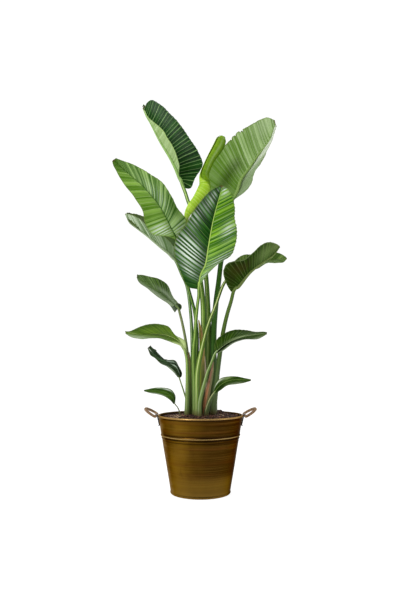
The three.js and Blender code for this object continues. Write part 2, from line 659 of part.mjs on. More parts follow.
function strapSolid() {
  const hinge = ringHinge();
  const height = (RING_HEIGHT - STRAP_FOOT) / Math.cos(STRAP_LEAN);
  const plate = new THREE.BoxGeometry(STRAP_THICKNESS, STRAP_WIDTH, height)
    .translate(STRAP_THICKNESS / 2, 0, height / 2)
    .rotateY(STRAP_LEAN)
    .translate(wallRadius(STRAP_FOOT) + GAP, 0, STRAP_FOOT);
  const knuckle = new THREE.CylinderGeometry(KNUCKLE_RADIUS, KNUCKLE_RADIUS, STRAP_WIDTH, 16)
    .translate(hinge.x, 0, hinge.z);
  const lip = new THREE.CylinderGeometry(LIP_RADIUS, LIP_RADIUS, STRAP_WIDTH, 8)
    .translate(wallRadius(STRAP_FOOT) + STRAP_THICKNESS, 0, STRAP_FOOT + LIP_RADIUS);
  const bore = new THREE.CylinderGeometry(WRAP_BORE, WRAP_BORE, STRAP_WIDTH * 2, 12)
    .translate(hinge.x, 0, hinge.z);
  return toSolid(plate).add(toSolid(knuckle)).add(toSolid(lip)).subtract(toSolid(bore));
}

// Assembly
const plant = new THREE.Group();

function addMesh(name, geometry, { color, roughness = 0.5, metalness = 0 }) {
  const mesh = new THREE.Mesh(geometry, new THREE.MeshStandardMaterial({ color, roughness, metalness }));
  mesh.name = name;
  plant.add(mesh);
  return mesh;
}

addMesh('bucket', potGeometry(), { color: 0x7a5c28, roughness: 0.38, metalness: 0.9 });

const sockets = [];
for (const [name, leaf] of Object.entries(LEAVES)) {
  addMesh(name, toGeometry(leafSolid(leaf)), { color: leaf.color });
  const rib = smoothCurve(leaf.rib.map(spot));
  sockets.push(toSolid(stalkTube(leaf, rib, { drop: GAP, extra: GAP })));
}
addMesh('leaf_furled', toGeometry(furledSolid(FURLED)), { color: FURLED.color });
sockets.push(toSolid(stalkTube(FURLED, smoothCurve(FURLED.roll.map(spot)), { drop: GAP, extra: GAP })));
for (const [name, sheath] of Object.entries(SHEATHS)) {
  addMesh(name, toGeometry(sheathSolid(sheath)), { color: sheath.color, roughness: 0.8 });
  sockets.push(sheathSolid(sheath, { drop: GAP, extra: GAP }));
}
addMesh('soil', toGeometry(soilSolid(sockets)), { color: 0x3a2a24, roughness: 0.95 });

for (const [side, turn] of [['right', 0], ['left', Math.PI]]) {
  addMesh(`handle_ring_${side}`, ringGeometry(), { color: 0x4a3a22, roughness: 0.4, metalness: 0.9 });
  plant.children.at(-1).rotation.z = turn;
  addMesh(`handle_wrap_${side}`, wrapGeometry(), { color: 0xa0744b, roughness: 0.85 });
  plant.children.at(-1).rotation.z = turn;
  addMesh(`ear_strap_${side}`, toGeometry(strapSolid()), { color: 0x33281c, roughness: 0.45, metalness: 0.8 });
  plant.children.at(-1).rotation.z = turn;
}

export default plant;
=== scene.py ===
"""Looks of the potted bird of paradise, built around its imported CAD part.

Shapes are worked out in millimetres, in the part's own frame, and turned into metres when a mesh is made.
Three numbers in a colour are its red, green and blue from 0 to 255.
"""

import math

import bpy
import numpy as np
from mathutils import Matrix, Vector


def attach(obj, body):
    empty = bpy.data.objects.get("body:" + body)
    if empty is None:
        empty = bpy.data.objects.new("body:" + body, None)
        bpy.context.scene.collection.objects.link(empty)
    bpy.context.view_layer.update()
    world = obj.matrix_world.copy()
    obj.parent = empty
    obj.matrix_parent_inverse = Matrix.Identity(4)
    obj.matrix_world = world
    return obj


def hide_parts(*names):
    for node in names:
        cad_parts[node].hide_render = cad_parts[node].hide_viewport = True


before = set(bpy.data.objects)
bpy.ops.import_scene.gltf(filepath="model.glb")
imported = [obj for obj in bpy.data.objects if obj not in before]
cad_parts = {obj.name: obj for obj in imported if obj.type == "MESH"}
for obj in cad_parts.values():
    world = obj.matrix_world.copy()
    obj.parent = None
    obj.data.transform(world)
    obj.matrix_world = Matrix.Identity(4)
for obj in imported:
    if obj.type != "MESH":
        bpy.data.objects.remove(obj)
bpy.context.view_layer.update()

MM = 0.001
TURN = 2 * math.pi
GAP = 0.35  # between solids that stand against each other
SOCKET_FLOOR = 246.0  # where the feet of stalks and sheaths stand in the soil
UPRIGHT_RISE = 3.0  # how far they come straight out of it

# Leaves: the same drawing as in the part. Points are [across, up, depth]
EYE = np.array([0.0, -2000.0, 475.0])
DRAWING_CENTRE = np.array([0.0, 0.0, 696.0])
DRAWN_CENTRE_HEIGHT = 720.0
CAMBER = 0.14  # a blade's rise over its width, where its leaf says nothing else

LEAVES = {
    "leaf_top_left": {
        "foot": [26, 36], "radii": [13, 7.2],
        "stalk": [[28, 422, 36], [31, 594, 37], [27, 733, 39], [19, 834, 46], [2, 947, 54], [-24, 1041, 62],
                  [-45, 1089, 70], [-56, 1123, 78]],
        "rib": [[-69, 1157, 85], [-82, 1196, 75], [-107, 1248, 62], [-151, 1318, 50], [-188, 1386, 45],
                [-202, 1408, 46], [-217, 1442, 50]],
        "left": [[-71, 1160, 90], [-80, 1167, 92], [-81, 1182, 82], [-81, 1198, 60], [-80, 1214, 40],
                 [-80, 1232, 22], [-95, 1277, 8], [-117, 1318, 8], [-145, 1363, 18], [-174, 1387, 28],
                 [-197, 1408, 38], [-210, 1434, 47]],
        "right": [[-61, 1142, 92], [-38, 1141, 108], [-21, 1178, 122], [8, 1232, 135], [-9, 1279, 140],
                  [-58, 1353, 135], [-101, 1408, 125], [-153, 1457, 105], [-180, 1471, 88], [-208, 1453, 58]],
        "camber": 0.1,
    },
    "leaf_top_right": {
        "foot": [49, 20], "radii": [14.2, 7.4],
        "stalk": [[49, 459, 22], [49.5, 602, 24], [58, 711, 28], [68, 789, 32], [77, 864, 38], [92, 932, 46],
                  [107, 999, 55], [116, 1059, 64]],
        "rib": [[118, 1095, 70], [137, 1123, 74], [151, 1168, 82], [180, 1209, 96], [210, 1254, 114],
                [257, 1318, 146], [270, 1354, 162], [281, 1384, 174]],
        "left": [[129, 1101, 66], [163, 1125, 54], [188, 1155, 50], [201, 1196, 58], [221, 1233, 74],
                 [240, 1265, 98], [257, 1297, 122], [271, 1329, 142], [285, 1374, 172]],
        "right": [[107, 1086, 72], [75, 1074, 86], [45, 1098, 104], [28, 1142, 120], [32, 1206, 134],
                  [64, 1276, 146], [108, 1317, 152], [137, 1347, 156], [183, 1374, 164], [241, 1404, 176],
                  [279, 1396, 178]],
        "camber": 0.1,
    },
    "leaf_left_broad": {
        "foot": [-16, 7], "radii": [9, 4.4],
        "stalk": [[-15, 459, 6], [-13, 591, 0], [-23, 681, -6], [-45, 767, -14], [-66, 864, -22],
                  [-86, 936, -26]],
        "rib": [[-91, 953, -28], [-111, 993, -36], [-156, 1076, -58], [-222, 1153, -92], [-258, 1184, -112],
                [-296, 1218, -136], [-328, 1247, -158]],
        "left": [[-96, 949, -30], [-120, 961, -48], [-179, 970, -74], [-205, 1008, -94], [-217, 1057, -110],
                 [-245, 1105, -128], [-289, 1163, -148], [-323, 1221, -160], [-331, 1243, -162]],
        "right": [[-83, 969, -20], [-59, 996, -10], [-59, 1028, -10], [-88, 1068, -14], [-106, 1105, -20],
                  [-143, 1162, -40], [-194, 1196, -68], [-249, 1228, -104], [-287, 1242, -130],
                  [-318, 1253, -156]],
    },
    "leaf_left_rear": {
        "foot": [-31, 28], "radii": [9.4, 5.2],
        "stalk": [[-31, 403, 29], [-30, 534, 31], [-37, 677, 36], [-52, 776, 41], [-72, 821, 43]],
        "rib": [[-91, 864, 45], [-113, 893, 49], [-142, 916, 58], [-174, 942, 69], [-205, 967, 82],
                [-239, 991, 98], [-266, 1012, 110], [-283, 1045, 124]],
        "left": [[-84, 878, 40], [-97, 914, 30], [-127, 952, 28], [-165, 980, 34], [-203, 1004, 50],
                 [-232, 1028, 80], [-262, 1041, 112], [-280, 1046, 122]],
        "right": [[-80, 881, 52], [-82, 930, 86], [-112, 976, 110], [-156, 1012, 126], [-197, 1028, 134],
                  [-228, 1040, 134], [-248, 1045, 130], [-277, 1046, 124]],
        "camber": 0.1,
    },
    "leaf_front_broad": {
        "foot": [-22, -14], "radii": [10, 5.2],
        "stalk": [[-24, 403, -14], [-26, 527, -22], [-21, 583, -28], [-17, 647, -36], [-12, 699, -44],
                  [-7, 737, -52]],
        "rib": [[-7, 767, -58], [0, 816, -66], [18, 854, -78], [29, 919, -94], [47, 1018, -108],
                [67, 1095, -112], [82, 1149, -110]],
        "left": [[-13, 763, -58], [-48, 774, -62], [-71, 819, -68], [-95, 887, -76], [-96, 936, -80],
                 [-81, 971, -84], [-53, 1007, -90], [-30, 1046, -96], [2, 1093, -102], [43, 1134, -108],
                 [80, 1151, -110]],
        "right": [[0, 789, -58], [34, 827, -64], [65, 856, -70], [115, 892, -76], [128, 924, -80],
                  [136, 962, -82], [134, 996, -84], [127, 1033, -86], [128, 1065, -90], [118, 1111, -100],
                  [103, 1136, -106], [84, 1150, -110]],
    },
    "leaf_right_front": {
        "foot": [46, -10], "radii": [11.5, 6.2],
        "stalk": [[56, 377, -10], [63, 448, -12], [73.5, 527, -18], [85, 602, -30], [99.5, 666, -43],
                  [115, 718, -55]],
        "rib": [[126, 759, -62], [144, 778, -68], [183, 824, -86], [216, 851, -104], [248, 872, -124],
                [275, 891, -142], [298, 921, -158]],
        "left": [[133, 761, -58], [146, 799, -48], [169, 833, -48], [204, 864, -64], [242, 898, -92],
                 [272, 917, -122], [298, 919, -156]],
        "right": [[115, 753, -64], [98, 784, -76], [87, 828, -88], [99, 856, -96], [132, 868, -102],
                  [162, 871, -110], [198, 899, -124], [228, 927, -140], [259, 938, -152], [286, 930, -158],
                  [297, 924, -159]],
        "camber": 0.12,
    },
    "leaf_right_rear": {
        "foot": [-13, -42], "radii": [11, 5],
        "stalk": [[-13, 366, -42], [-11, 452, -42], [5, 538, -42], [30, 632, -42], [56, 699, -42],
                  [82, 771, -34], [98, 799, -22]],
        "rib": [[107, 812, -12], [133, 831, 2], [171, 846, 26], [216, 859, 54], [261, 870, 82],
                [324, 878, 120]],
        "left": [[105, 823, -10], [118, 853, 2], [142, 879, 20], [166, 891, 36], [204, 891, 64],
                 [246, 896, 86], [287, 899, 108], [313, 888, 122], [324, 879, 122]],
        "right": [[114, 803, -16], [148, 810, -12], [186, 829, 2], [216, 842, 18], [249, 861, 42],
                  [279, 861, 68], [309, 864, 94], [324, 876, 118]],
        "camber": 0.12,
    },
    "leaf_left_small_1": {
        "foot": [-44, 10], "radii": [6.4, 4.8],
        "stalk": [[-46, 403, 10], [-48, 512, 6], [-56, 572, 2], [-66, 624, 8], [-76, 666, 14]],
        "rib": [[-84, 692, 20], [-109, 714, 12], [-141, 745, -8], [-168, 761, -28], [-201, 784, -52],
                [-238, 812, -80]],
        "left": [[-95, 676, 16], [-118, 706, 2], [-160, 735, -24], [-195, 763, -46], [-229, 788, -68],
                 [-239, 806, -82]],
        "right": [[-75, 684, 22], [-75, 700, 30], [-88, 709, 30], [-107, 742, 24], [-126, 780, 10],
                  [-156, 800, -12], [-187, 808, -36], [-220, 815, -64], [-238, 816, -80]],
    },
    "leaf_left_small_2": {
        "foot": [-49, -24], "radii": [10.5, 5],
        "stalk": [[-49, 366, -24], [-49, 452, -24], [-51, 497, -27]],
        "rib": [[-56, 523, -30], [-66, 549, -30], [-84, 568, -26], [-122, 588, -10], [-168, 594, 12],
                [-219, 592, 36], [-281, 600, 64]],
        "left": [[-58, 521, -32], [-70, 546, -40], [-103, 562, -42], [-149, 578, -32], [-179, 579, -16],
                 [-219, 577, 4], [-260, 584, 36], [-281, 596, 60]],
        "right": [[-54, 534, -28], [-60, 568, -16], [-92, 588, -6], [-119, 620, 8], [-149, 630, 24],
                  [-187, 631, 42], [-227, 621, 58], [-264, 605, 68], [-283, 604, 66]],
    },
    "leaf_right_small_1": {
        "foot": [-3, -65], "radii": [8.5, 4],
        "stalk": [[-3, 332, -65], [5, 373, -65], [16, 414, -66], [27, 452, -67], [41, 486, -68]],
        "rib": [[56, 523, -70], [77, 542, -72], [117, 568, -72], [156, 583, -70], [201, 591, -62],
                [249, 598, -50]],
        "left": [[54, 534, -66], [54, 553, -58], [64, 576, -48], [88, 594, -42], [124, 609, -38],
                 [159, 610, -38], [210, 602, -42], [234, 603, -46], [249, 601, -50]],
        "right": [[62, 522, -76], [81, 531, -84], [120, 559, -94], [159, 573, -94], [210, 576, -82],
                  [231, 584, -66], [249, 594, -52]],
    },
    "leaf_left_twisted": {
        "foot": [-52, -2], "radii": [3.5, 2.4],
        "stalk": [[-54, 347, -3], [-61, 373, -5], [-72, 407, -8]],
        "rib": [[-80, 431, -12], [-92, 459, -16], [-114, 484, -20], [-144, 499, -24], [-165, 512, -30],
                [-182, 529, -36], [-194, 546, -42]],
        "left": [[-85, 432, -16], [-100, 451, -24], [-123, 472, -30], [-151, 487, -34], [-169, 504, -38],
                 [-186, 515, -42], [-193, 529, -46], [-198, 542, -46]],
        "right": [[-73, 432, -8], [-70, 446, -4], [-82, 472, -4], [-96, 494, -6], [-124, 497, -12],
                  [-150, 503, -18], [-165, 529, -24], [-180, 542, -32], [-188, 551, -40]],
    },
    "leaf_right_small_2": {
        "foot": [20, -43], "radii": [13, 3.6],
        "stalk": [[35, 345, -62]],
        "rib": [[50, 371, -74], [69, 396, -84], [96, 415, -98], [133, 423, -116], [163, 422, -132],
                [189, 422, -146]],
        "left": [[49, 381, -70], [56, 403, -68], [73, 425, -76], [103, 434, -90], [138, 434, -110],
                 [163, 429, -126], [189, 424, -145]],
        "right": [[57, 372, -78], [75, 385, -92], [99, 402, -110], [135, 408, -126], [163, 412, -138],
                  [189, 419, -148]],
    },
    "leaf_left_lowest": {
        "foot": [-72, -42], "radii": [2.6, 1.8],
        "stalk": [[-85, 318, -45]],
        "rib": [[-97, 333, -50], [-107, 358, -53], [-129, 374, -58], [-163, 381, -66], [-189, 381, -74],
                [-212, 382, -80]],
        "left": [[-101, 332, -53], [-112, 346, -60], [-133, 361, -68], [-162, 370, -74], [-189, 374, -79],
                 [-211, 380, -81]],
        "right": [[-95, 338, -47], [-95, 362, -44], [-109, 384, -46], [-137, 392, -54], [-171, 392, -64],
                  [-197, 387, -74], [-212, 384, -80]],
    },
}

FURLED = {
    "foot": [10, 10], "radii": [11, 8.8],
    "stalk": [[10, 422, 11], [11.5, 609, 12], [7.5, 733, 14], [-6.5, 827, 16], [-24, 902, 20],
              [-41, 966, 24]],
    "roll": [[-53, 1016, 28], [-52, 1029, 28], [-47, 1046, 28], [-33, 1071, 28], [-13, 1095, 29],
             [5, 1121, 30], [15, 1138, 30], [18, 1153, 31], [15, 1187, 33], [26, 1221, 35], [43, 1256, 37],
             [60, 1283, 39], [73, 1307, 41], [82, 1333, 43]],
    "roll_radii": [8, 10, 14, 18, 21, 25, 27, 24, 19, 17, 18, 21, 22, 19],
    "turns": 1.35,
    "edge_angle": -0.5,
}

# Each point of a strip is [across, up, depth, half width]
SHEATHS = {
    "sheath_red_brown": {
        "foot": [17, -20, 8],
        "strip": [[18, 320, -20, 9.5], [25, 362, -22, 9], [34, 407, -24, 7.5], [44, 457, -26, 5],
                  [49, 490, -25, 1.5]],
    },
    "sheath_cream": {
        "foot": [20, -3, 5],
        "strip": [[20, 350, -3, 5], [19, 410, -3, 4.5], [17, 470, -2, 3.5], [15, 512, -1, 1.5]],
    },
    "sheath_yellow_brown": {
        "foot": [0, -10, 11],
        "strip": [[2, 340, -10, 11], [4, 450, -9, 11], [5, 545, -9, 9], [0, 605, -9, 6], [-7, 647, -8, 1.5]],
    },
    "sheath_left": {
        "foot": [-38, -7, 8],
        "strip": [[-39, 340, -7, 8], [-39, 430, -6, 8], [-41, 490, -6, 6], [-44, 526, -5, 2]],
    },
}


# Numbers and curves
def unit(vectors):
    return vectors / np.maximum(np.linalg.norm(vectors, axis=-1, keepdims=True), 1e-9)


def smoothstep(low, high, x):
    t = np.clip((np.asarray(x, float) - low) / (high - low), 0, 1)
    return t * t * (3 - 2 * t)


def circle(count):
    return np.arange(count) / count * TURN


def travelled(points):
    """How far along a path each of its points lies."""
    return np.concatenate([[0], np.cumsum(np.linalg.norm(np.diff(points, axis=0), axis=1))])


SIGHT = unit(DRAWING_CENTRE - EYE)
DRAWN_UP = np.cross([1.0, 0.0, 0.0], SIGHT)


def spot(points):
    """Places of drawn points in the part's frame."""
    p = np.asarray(points, float)
    on_plane = DRAWING_CENTRE + p[:, :1] * [1, 0, 0] + (p[:, 1:2] - DRAWN_CENTRE_HEIGHT) * DRAWN_UP
    reach = (p[:, 2] - EYE[1]) / (on_plane[:, 1] - EYE[1])
    return EYE + (on_plane - EYE) * reach[:, None]


def drawn(points):
    """Where places in the part's frame lie in the drawing: across and up."""
    ray = points - EYE
    on_plane = ray * (np.linalg.norm(DRAWING_CENTRE - EYE) / (ray @ SIGHT))[:, None]
    return np.stack([on_plane[:, 0], on_plane @ DRAWN_UP + DRAWN_CENTRE_HEIGHT], -1)


class Curve:
    """A centripetal Catmull-Rom curve through points, read by its share of length."""

    def __init__(self, points, closed=False, samples=64):
        p = np.asarray(points, float)
        if closed:
            p = np.vstack([p[-1], p, p[0], p[1]])
        else:
            p = np.vstack([2 * p[0] - p[1], p, 2 * p[-1] - p[-2]])
        t = np.arange(samples) / samples
        pieces = []
        for a, b, c, d in zip(p[:-3], p[1:-2], p[2:-1], p[3:]):
            before, here, after = (max(math.sqrt(np.linalg.norm(e)), 1e-4) for e in (b - a, c - b, d - c))
            start = ((b - a) / before - (c - a) / (before + here) + (c - b) / here) * here
            end = ((c - b) / here - (d - b) / (here + after) + (d - c) / after) * here
            quadratic = 3 * (c - b) - 2 * start - end
            cubic = 2 * (b - c) + start + end
            pieces.append(b + np.outer(t, start) + np.outer(t**2, quadratic) + np.outer(t**3, cubic))
        self.points = np.vstack([*pieces, p[-2:-1]])
        self.travelled = travelled(self.points)
        self.length = self.travelled[-1]

    def at(self, shares):
        where = np.clip(np.asarray(shares, float), 0, 1) * self.length
        return np.stack([np.interp(where, self.travelled, axis) for axis in self.points.T], axis=-1)

    def tangent(self, shares, reach=0.008):
        s = np.asarray(shares, float)
        return unit(self.at(np.minimum(s + reach, 1)) - self.at(np.maximum(s - reach, 0)))


def wander(x, seed, waves=4):
    """A smooth seeded wobble between about -1 and 1."""
    random = np.random.default_rng(seed)
    x = np.asarray(x, float)
    total = sum(math.sqrt(1 / k) * np.sin(k * 2.1 * x + random.uniform(0, TURN)) for k in range(1, waves + 1))
    return total / math.sqrt(waves)


# Mesh parts: dicts of points in mm, faces, point values and a material index
def grid_faces(rows, columns, offset=0, wrap=False):
    """Quads between the points of a grid; wrap joins its last column to its first."""
    i = np.arange(rows - 1)[:, None]
    j = np.arange(columns if wrap else columns - 1)[None, :]
    k = (j + 1) % columns
    quads = np.stack([i * columns + j, i * columns + k, (i + 1) * columns + k, (i + 1) * columns + j], -1)
    return quads.reshape(-1, 4) + offset


def sheet_part(grid, thickness, values, material=0):
    """A closed thin sheet about a grid. Its point values are the same on both faces, but for face itself."""
    rows, columns = grid.shape[:2]
    normal = unit(np.cross(np.gradient(grid, axis=1), np.gradient(grid, axis=0)))
    half = (np.broadcast_to(thickness, (rows, columns)) / 2)[..., None]
    count = rows * columns
    points = np.vstack([(grid + normal * half).reshape(-1, 3), (grid - normal * half).reshape(-1, 3)])
    index = np.arange(count).reshape(rows, columns)
    here = np.concatenate([index[0, :-1], index[:-1, -1], index[-1, :0:-1], index[:0:-1, 0]])
    ahead = np.roll(here, -1)
    faces = [grid_faces(rows, columns), grid_faces(rows, columns, count)[:, ::-1],
             np.stack([here, here + count, ahead + count, ahead], -1)]
    data = {"face": np.repeat([0.0, 1.0], count)}
    for name, value in values.items():
        data[name] = np.tile(np.broadcast_to(value, (rows, columns)).reshape(-1), 2)
    rim = np.zeros(2 * count)
    rim[here], rim[here + count] = 1, 2
    return {"points": points, "faces": np.vstack(faces), "values": data, "material": material, "rim": rim}


def ringed_part(rings, ends, values, material=0, closed=False, inward=False):
    """Rings of points joined in turn, and capped at both ends or joined there if closed."""
    steps, sides = rings.shape[:2]
    points, faces, count = rings.reshape(-1, 3), grid_faces(steps, sides, wrap=True), steps * sides
    j = np.arange(sides)
    k = (j + 1) % sides
    last = count - sides
    if closed:
        triangles = np.zeros((0, 3), int)
        faces = np.vstack([faces, np.stack([last + j, last + k, k, j], -1)])
    else:
        triangles = np.vstack([np.stack([k, j, np.full(sides, count)], -1),
                               np.stack([last + j, last + k, np.full(sides, count + 1)], -1)])
        points = np.vstack([points, *ends])
        values = {name: np.concatenate([value, value[:1], value[-1:]]) for name, value in values.items()}
    order = -1 if inward else 1
    return {"points": points, "faces": faces[:, ::order], "triangles": triangles[:, ::order],
            "values": values, "material": material}


def spokes(first, second, angle):
    """Directions at angles from first to second, for each step of a path."""
    return np.cos(angle)[:, None] * first[:, None] + np.sin(angle)[:, None] * second[:, None]


def tube_part(points, radii, sides, first_normal, material=0, groove=0.0, closed=False, values=None):
    """A tube round a path. The groove lies on the side of first_normal."""
    tangents = unit(np.gradient(points, axis=0))
    normals = np.zeros_like(points)
    normal = np.asarray(first_normal, float)
    for step, tangent in enumerate(tangents):
        normal = unit(normal - tangent * (normal @ tangent))
        normals[step] = normal
    angle = circle(sides)
    radial = np.roll(1 - groove * np.exp(-((angle - math.pi) / 0.5) ** 2), sides // 2)
    out = spokes(normals, np.cross(tangents, normals), angle)
    data = {"along": np.repeat(travelled(points), sides), "side": out[..., 0].reshape(-1),
            "around_x": np.tile(np.cos(angle), len(points)), "around_y": np.tile(np.sin(angle), len(points))}
    for name, value in (values or {}).items():
        data[name] = np.repeat(value, sides)
    rings = points[:, None] + out * (np.asarray(radii)[:, None] * radial)[..., None]
    return ringed_part(rings, points[[0, -1]], data, material, closed, inward=True)


def lathe_part(profile, segments, values=None):
    """Turns a profile of [radius, height] about the axis; its two ends lie on the axis."""
    profile = np.asarray(profile, float)
    angle = circle(segments)
    radius, height = profile[1:-1, :1], profile[1:-1, 1:]
    rings = np.stack([radius * np.cos(angle), radius * np.sin(angle), height + 0 * angle], -1)
    data = {name: np.full(rings[..., 0].size, value) for name, value in (values or {}).items()}
    return ringed_part(rings, [[0, 0, profile[0, 1]], [0, 0, profile[-1, 1]]], data)


def link(name, data):
    """An object of the scene for a mesh, light or camera."""
    made = bpy.data.objects.new(name, data)
    bpy.context.scene.collection.objects.link(made)
    return made


def make_piece(name, parts, materials, replaced, smooth=True):
    """Joins parts into one object that rides on the part and stands for the CAD node replaced."""
    corners, sizes, slots = [], [], []
    count = 0
    for part in parts:
        for faces in (part["faces"], part.get("triangles", np.zeros((0, 3), int))):
            corners.append((faces + count).reshape(-1))
            sizes.append(np.full(len(faces), faces.shape[1]))
            slots.append(np.full(len(faces), part["material"]))
        count += len(part["points"])
    points = np.vstack([part["points"] for part in parts])
    corners, sizes = np.concatenate(corners), np.concatenate(sizes)

    def joined(value_of):
        """A value of every point, 0 where its part has none."""
        return np.concatenate([value_of(part, np.zeros(len(part["points"]))) for part in parts])

    mesh = bpy.data.meshes.new(name)
    mesh.vertices.add(len(points))
    mesh.vertices.foreach_set("co", (points * MM).astype(np.float32).reshape(-1))
    mesh.loops.add(len(corners))
    mesh.loops.foreach_set("vertex_index", corners.astype(np.int32))
    mesh.polygons.add(len(sizes))
    mesh.polygons.foreach_set("loop_start", np.concatenate([[0], np.cumsum(sizes)[:-1]]).astype(np.int32))
    mesh.polygons.foreach_set("material_index", np.concatenate(slots).astype(np.int32))
    mesh.polygons.foreach_set("use_smooth", np.full(len(sizes), smooth))
    mesh.update(calc_edges=True)
    mesh.validate()
    for key in sorted({key for part in parts for key in part["values"]}):
        layer = mesh.attributes.new(key, "FLOAT", "POINT")
        values = joined(lambda part, zeros: part["values"].get(key, zeros))
        layer.data.foreach_set("value", values.astype(np.float32))
    rim = joined(lambda part, zeros: part.get("rim", zeros))
    if rim.any():
        ends = np.zeros(len(mesh.edges) * 2, np.int32)
        mesh.edges.foreach_get("vertices", ends)
        first, second = rim[ends[0::2]], rim[ends[1::2]]
        sharp = mesh.attributes.new("sharp_edge", "BOOLEAN", "EDGE")
        sharp.data.foreach_set("value", (first > 0) & (first == second))
    for material in materials:
        mesh.materials.append(material)
    piece = link(name, mesh)
    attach(piece, "root")
    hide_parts(replaced)


# Materials
def srgb(red, green, blue):
    """A colour of 0 to 255 values as Blender's linear one."""
    linear = [v / 255 / 12.92 if v / 255 <= 0.04045 else ((v / 255 + 0.055) / 1.055) ** 2.4
              for v in (red, green, blue)]
    return (*linear, 1.0)


class Wire:
    """What a node puts out. Reckoning with it adds Math nodes to its shader."""

    def __init__(self, shader, socket):
        self.shader = shader
        self.socket = socket

    def __add__(self, other):
        return self.shader.math("ADD", self, other)

    def __sub__(self, other):
        return self.shader.math("SUBTRACT", self, other)

    def __rsub__(self, other):
        return self.shader.math("SUBTRACT", other, self)

    def __mul__(self, other):
        return self.shader.math("MULTIPLY", self, other)

    def __truediv__(self, other):
        return self.shader.math("DIVIDE", self, other)

    def __abs__(self):
        return self.shader.math("ABSOLUTE", self)


class Shader:
    """Builds one node material, whose colour is laid on in coats."""

    def __init__(self, name):
        self.material = bpy.data.materials.new(name)
        self.material.use_nodes = True
        self.tree = self.material.node_tree
        self.tree.nodes.clear()
        self.surface = self.tree.nodes.new("ShaderNodeBsdfPrincipled")
        output = self.tree.nodes.new("ShaderNodeOutputMaterial")
        self.tree.links.new(self.surface.outputs["BSDF"], output.inputs["Surface"])

    def feed(self, socket, value):
        """Links a wire or sets a value; a tuple of three numbers is a colour."""
        if isinstance(value, Wire):
            self.tree.links.new(value.socket, socket)
        else:
            is_colour = isinstance(value, tuple) and len(value) == 3
            socket.default_value = srgb(*value) if is_colour else value

    def node(self, kind, inputs, output=0, **settings):
        """Adds a node, feeds it, and gives one of its outputs."""
        made = self.tree.nodes.new(kind)
        for key, value in settings.items():
            setattr(made, key, value)
        for key, value in inputs.items():
            self.feed(made.inputs[key], value)
        return Wire(self, made.outputs[output])

    def set(self, **inputs):
        for key, value in inputs.items():
            self.feed(self.surface.inputs[key.replace("_", " ")], value)

    def attribute(self, name):
        return self.node("ShaderNodeAttribute", {}, "Fac", attribute_name=name)

    def place(self, x=1, y=1, z=1):
        """Where the point lies, with each axis stretched."""
        where = self.node("ShaderNodeTexCoord", {}, "Object")
        return self.node("ShaderNodeMapping", {"Vector": where, "Scale": [x, y, z]})

    def vector(self, x, y, z=0.0):
        return self.node("ShaderNodeCombineXYZ", {"X": x, "Y": y, "Z": z})

    def math(self, operation, *values):
        return self.node("ShaderNodeMath", dict(enumerate(values)), operation=operation)

    def ramp(self, value, low, high, start=0.0, end=1.0):
        """Start where the value is low, end where it is high, and smooth between."""
        limits = {"Value": value, "From Min": low, "From Max": high, "To Min": start, "To Max": end}
        return self.node("ShaderNodeMapRange", limits, "Result", interpolation_type="SMOOTHSTEP")

    def noise(self, vector, scale, detail, roughness=0.5):
        inputs = {"Vector": vector, "Scale": scale, "Detail": detail, "Roughness": roughness}
        return self.node("ShaderNodeTexNoise", inputs, "Fac")

    def line_noise(self, value, scale, detail):
        return self.node("ShaderNodeTexNoise", {"W": value, "Scale": scale, "Detail": detail}, "Fac",
                         noise_dimensions="1D")

    def chance(self, whole):
        """A share drawn for each whole number."""
        return self.node("ShaderNodeTexWhiteNoise", {"W": whole}, "Value", noise_dimensions="1D")

    def mix(self, share, first, second):
        return self.node("ShaderNodeMix", {0: share, 6: first, 7: second}, 2, data_type="RGBA")

    def lay(self, coat, share):
        """Lays a coat over the colour so far, as thick as its share."""
        self.colour = self.mix(share, self.colour, coat)

    def paint(self, coat, value, low, high, start=0.0, end=1.0):
        """Lays a coat whose share goes from start where the value is low to end where it is high."""
        self.lay(coat, self.ramp(value, low, high, start, end))

    def bump(self, height, distance, strength):
        inputs = {"Strength": strength, "Distance": distance, "Height": height}
        self.set(Normal=self.node("ShaderNodeBump", inputs))


DRY_TIP = (88, 70, 38)
RIGHT_STRANDS = 41.0  # sets the strands of the right half apart from those of the left


def of_half(look, side, key):
    """A value of a leaf's look, which may differ between the two halves of the blade."""
    return look[f"{side}_half"].get(key, look[key])


